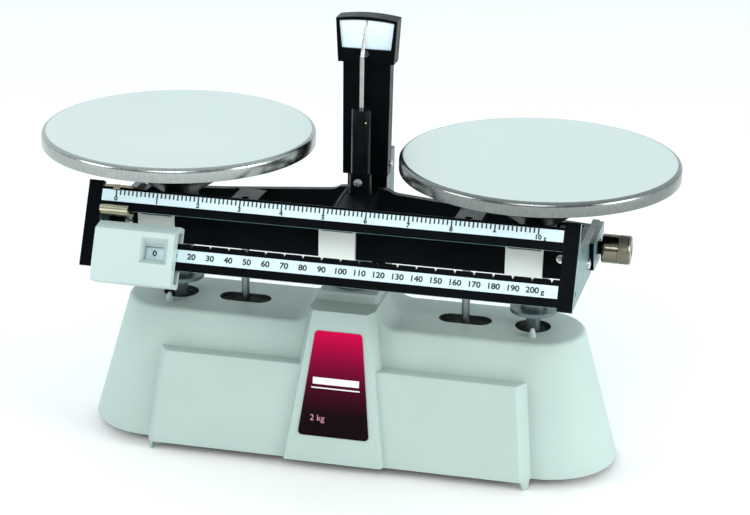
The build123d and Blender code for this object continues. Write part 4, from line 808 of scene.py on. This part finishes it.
# =============================================================== plate print
# Front face of the pedestal: it comes forward by RUN over a drop of RISE
FACE_RUN, FACE_RISE = 15.6, 84.0
FACE_TOP_Y, FACE_TOP_Z = -35.0, 90
PLATE_Z = 50            # height on the pedestal face that plate positions start from
PLATE_FACE = 0.45       # offset of the plate face from the pedestal face
PLATE_UP = Vector((0, FACE_RUN, FACE_RISE)).normalized()
PLATE_OUT = Vector((0, -FACE_RISE, FACE_RUN)).normalized()
PLATE_ORIGIN = Vector((0, FACE_TOP_Y - FACE_RUN / FACE_RISE * (FACE_TOP_Z - PLATE_Z), PLATE_Z)
                      ) + PLATE_OUT * PLATE_FACE
PLATE_TOP, PLATE_LENGTH = 29.8, 59.5
PLATE_HALF_TOP, PLATE_HALF_BOTTOM = 13.2, 20.2
BAR_MARGIN = 3.2
PLATE_BARS = [(-0.2, 3.6), (-2.6, -1.9)]        # low, high up the plate


def on_plate(x, height, offset):
    return (PLATE_ORIGIN + Vector((1, 0, 0)) * x + PLATE_UP * height + PLATE_OUT * offset) * MM


def plate_print():
    """Two pale bars and the capacity figure."""
    parts = []
    for low, high in PLATE_BARS:
        widening = (PLATE_HALF_BOTTOM - PLATE_HALF_TOP) * (PLATE_TOP - high) / PLATE_LENGTH
        parts.append(stroke(on_plate, (0.03, -0.02), low, high,
                            half_width=PLATE_HALF_TOP + widening - BAR_MARGIN))
    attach(add_mesh("plate_bars", merged(parts), ["pale_print"]), "base")
    part = text_part("2 kg", on_plate, at=(-9.5, -19.5, 0.01), size=5.0, half_thickness=0.02)
    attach(add_mesh("plate_capacity_figure", part, ["pink_print"]), "base")


plate_print()


# =============================================================== pointer sleeve pin
def sleeve_pin():
    """Small brass pin standing out of the sleeve, to the front and right."""
    sleeve_y, pin_z = 10.0, 186.5
    sleeve_radius = 5.3
    angle = math.radians(-50)
    x, y = math.cos(angle), math.sin(angle)
    profile = [(-1.0, 0.0), (-1.0, 0.5), (0.05, 0.5), (0.16, 0.38), (0.2, 0.0)]
    part = lathe(profile, (sleeve_radius * x, sleeve_y + sleeve_radius * y, pin_z),
                 axis=(x, y, 0), segments=20)
    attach(add_mesh("sleeve_brass_pin", part, ["brass_pin"]), "beam")


sleeve_pin()

# =============================================================== floor, light, camera
FLOOR_HALF = 6.0
LIGHT_TARGET = Vector((0, 0, 0.1))
# Name, place, size in metres, power in watts, colour
LIGHTS = [
    ("right", (2.3, -0.6, 0.75), 1.1, 38.0, (1.0, 1.0, 0.99)),
    ("left", (-2.0, -1.3, 1.0), 1.1, 23.0, (0.97, 0.99, 1.0)),
    ("front_high", (0.2, -2.1, 1.5), 1.2, 21.5, (1.0, 1.0, 1.0)),
]
CAMERA_TARGET = Vector((0.0113, 0.0, 0.1109))
CAMERA_DISTANCE = 1.27223
CAMERA_AZIMUTH = math.radians(12.57)    # from the front towards +X
CAMERA_ELEVATION = math.radians(20.34)
CAMERA_ROLL = math.radians(1.02)
CAMERA_LENS = 109.704                   # mm, on a 36 mm sensor


def build_floor():
    mesh = bpy.data.meshes.new("floor")
    s = FLOOR_HALF
    mesh.from_pydata([(-s, -s, 0), (s, -s, 0), (s, s, 0), (-s, s, 0)], [], [(0, 1, 2, 3)])
    floor = bpy.data.objects.new("floor", mesh)
    bpy.context.scene.collection.objects.link(floor)
    mesh.materials.append(MATERIALS["pale_floor"])


def build_world():
    """Studio sky: bright behind (+Y) and overhead, dim in front."""
    world = bpy.data.worlds.new("studio")
    bpy.context.scene.world = world
    world.use_nodes = True
    g = Graph(world.node_tree)
    xyz = g.split(g.add("ShaderNodeTexCoord").outputs["Generated"])
    behind = g.remap(xyz["Y"], source=(-0.35, 0.25))
    overhead = g.math("MULTIPLY", g.remap(xyz["Z"], source=(0.55, 0.85)), 0.72)
    bright = g.math("MAXIMUM", behind, overhead)
    tint = g.mix(g.remap(xyz["X"], source=(-0.6, 0.6)), (0.93, 1.03, 1.04), (0.80, 0.92, 0.94))
    g.feed(world.node_tree.nodes["Background"],
           {"Color": g.mix(bright, (0.25, 0.265, 0.265), tint), "Strength": 1.08})


def build_lights():
    for name, place, size, power, colour in LIGHTS:
        light = bpy.data.lights.new(name, "AREA")
        light.energy = power
        light.color = colour
        light.size = size
        obj = bpy.data.objects.new(name, light)
        bpy.context.scene.collection.objects.link(obj)
        obj.location = place
        aim = LIGHT_TARGET - Vector(place)
        obj.rotation_euler = aim.to_track_quat("-Z", "Y").to_euler()


def build_camera():
    level = math.cos(CAMERA_ELEVATION)
    back = Vector((math.sin(CAMERA_AZIMUTH) * level, -math.cos(CAMERA_AZIMUTH) * level,
                   math.sin(CAMERA_ELEVATION)))
    right = (-back).cross(Vector((0, 0, 1))).normalized()
    up = right.cross(-back)
    cos, sin = math.cos(CAMERA_ROLL), math.sin(CAMERA_ROLL)
    data = bpy.data.cameras.new("camera")
    data.sensor_fit = "HORIZONTAL"
    data.sensor_width = 36.0
    data.lens = CAMERA_LENS
    data.clip_end = 50
    camera = bpy.data.objects.new("camera", data)
    bpy.context.scene.collection.objects.link(camera)
    axes = (right * cos + up * sin, up * cos - right * sin, back)
    matrix = Matrix(axes).transposed().to_4x4()
    matrix.translation = CAMERA_TARGET + back * CAMERA_DISTANCE
    camera.matrix_world = matrix
    bpy.context.scene.camera = camera


build_floor()
build_world()
build_lights()
bpy.context.scene.view_settings.view_transform = "Standard"
build_camera()
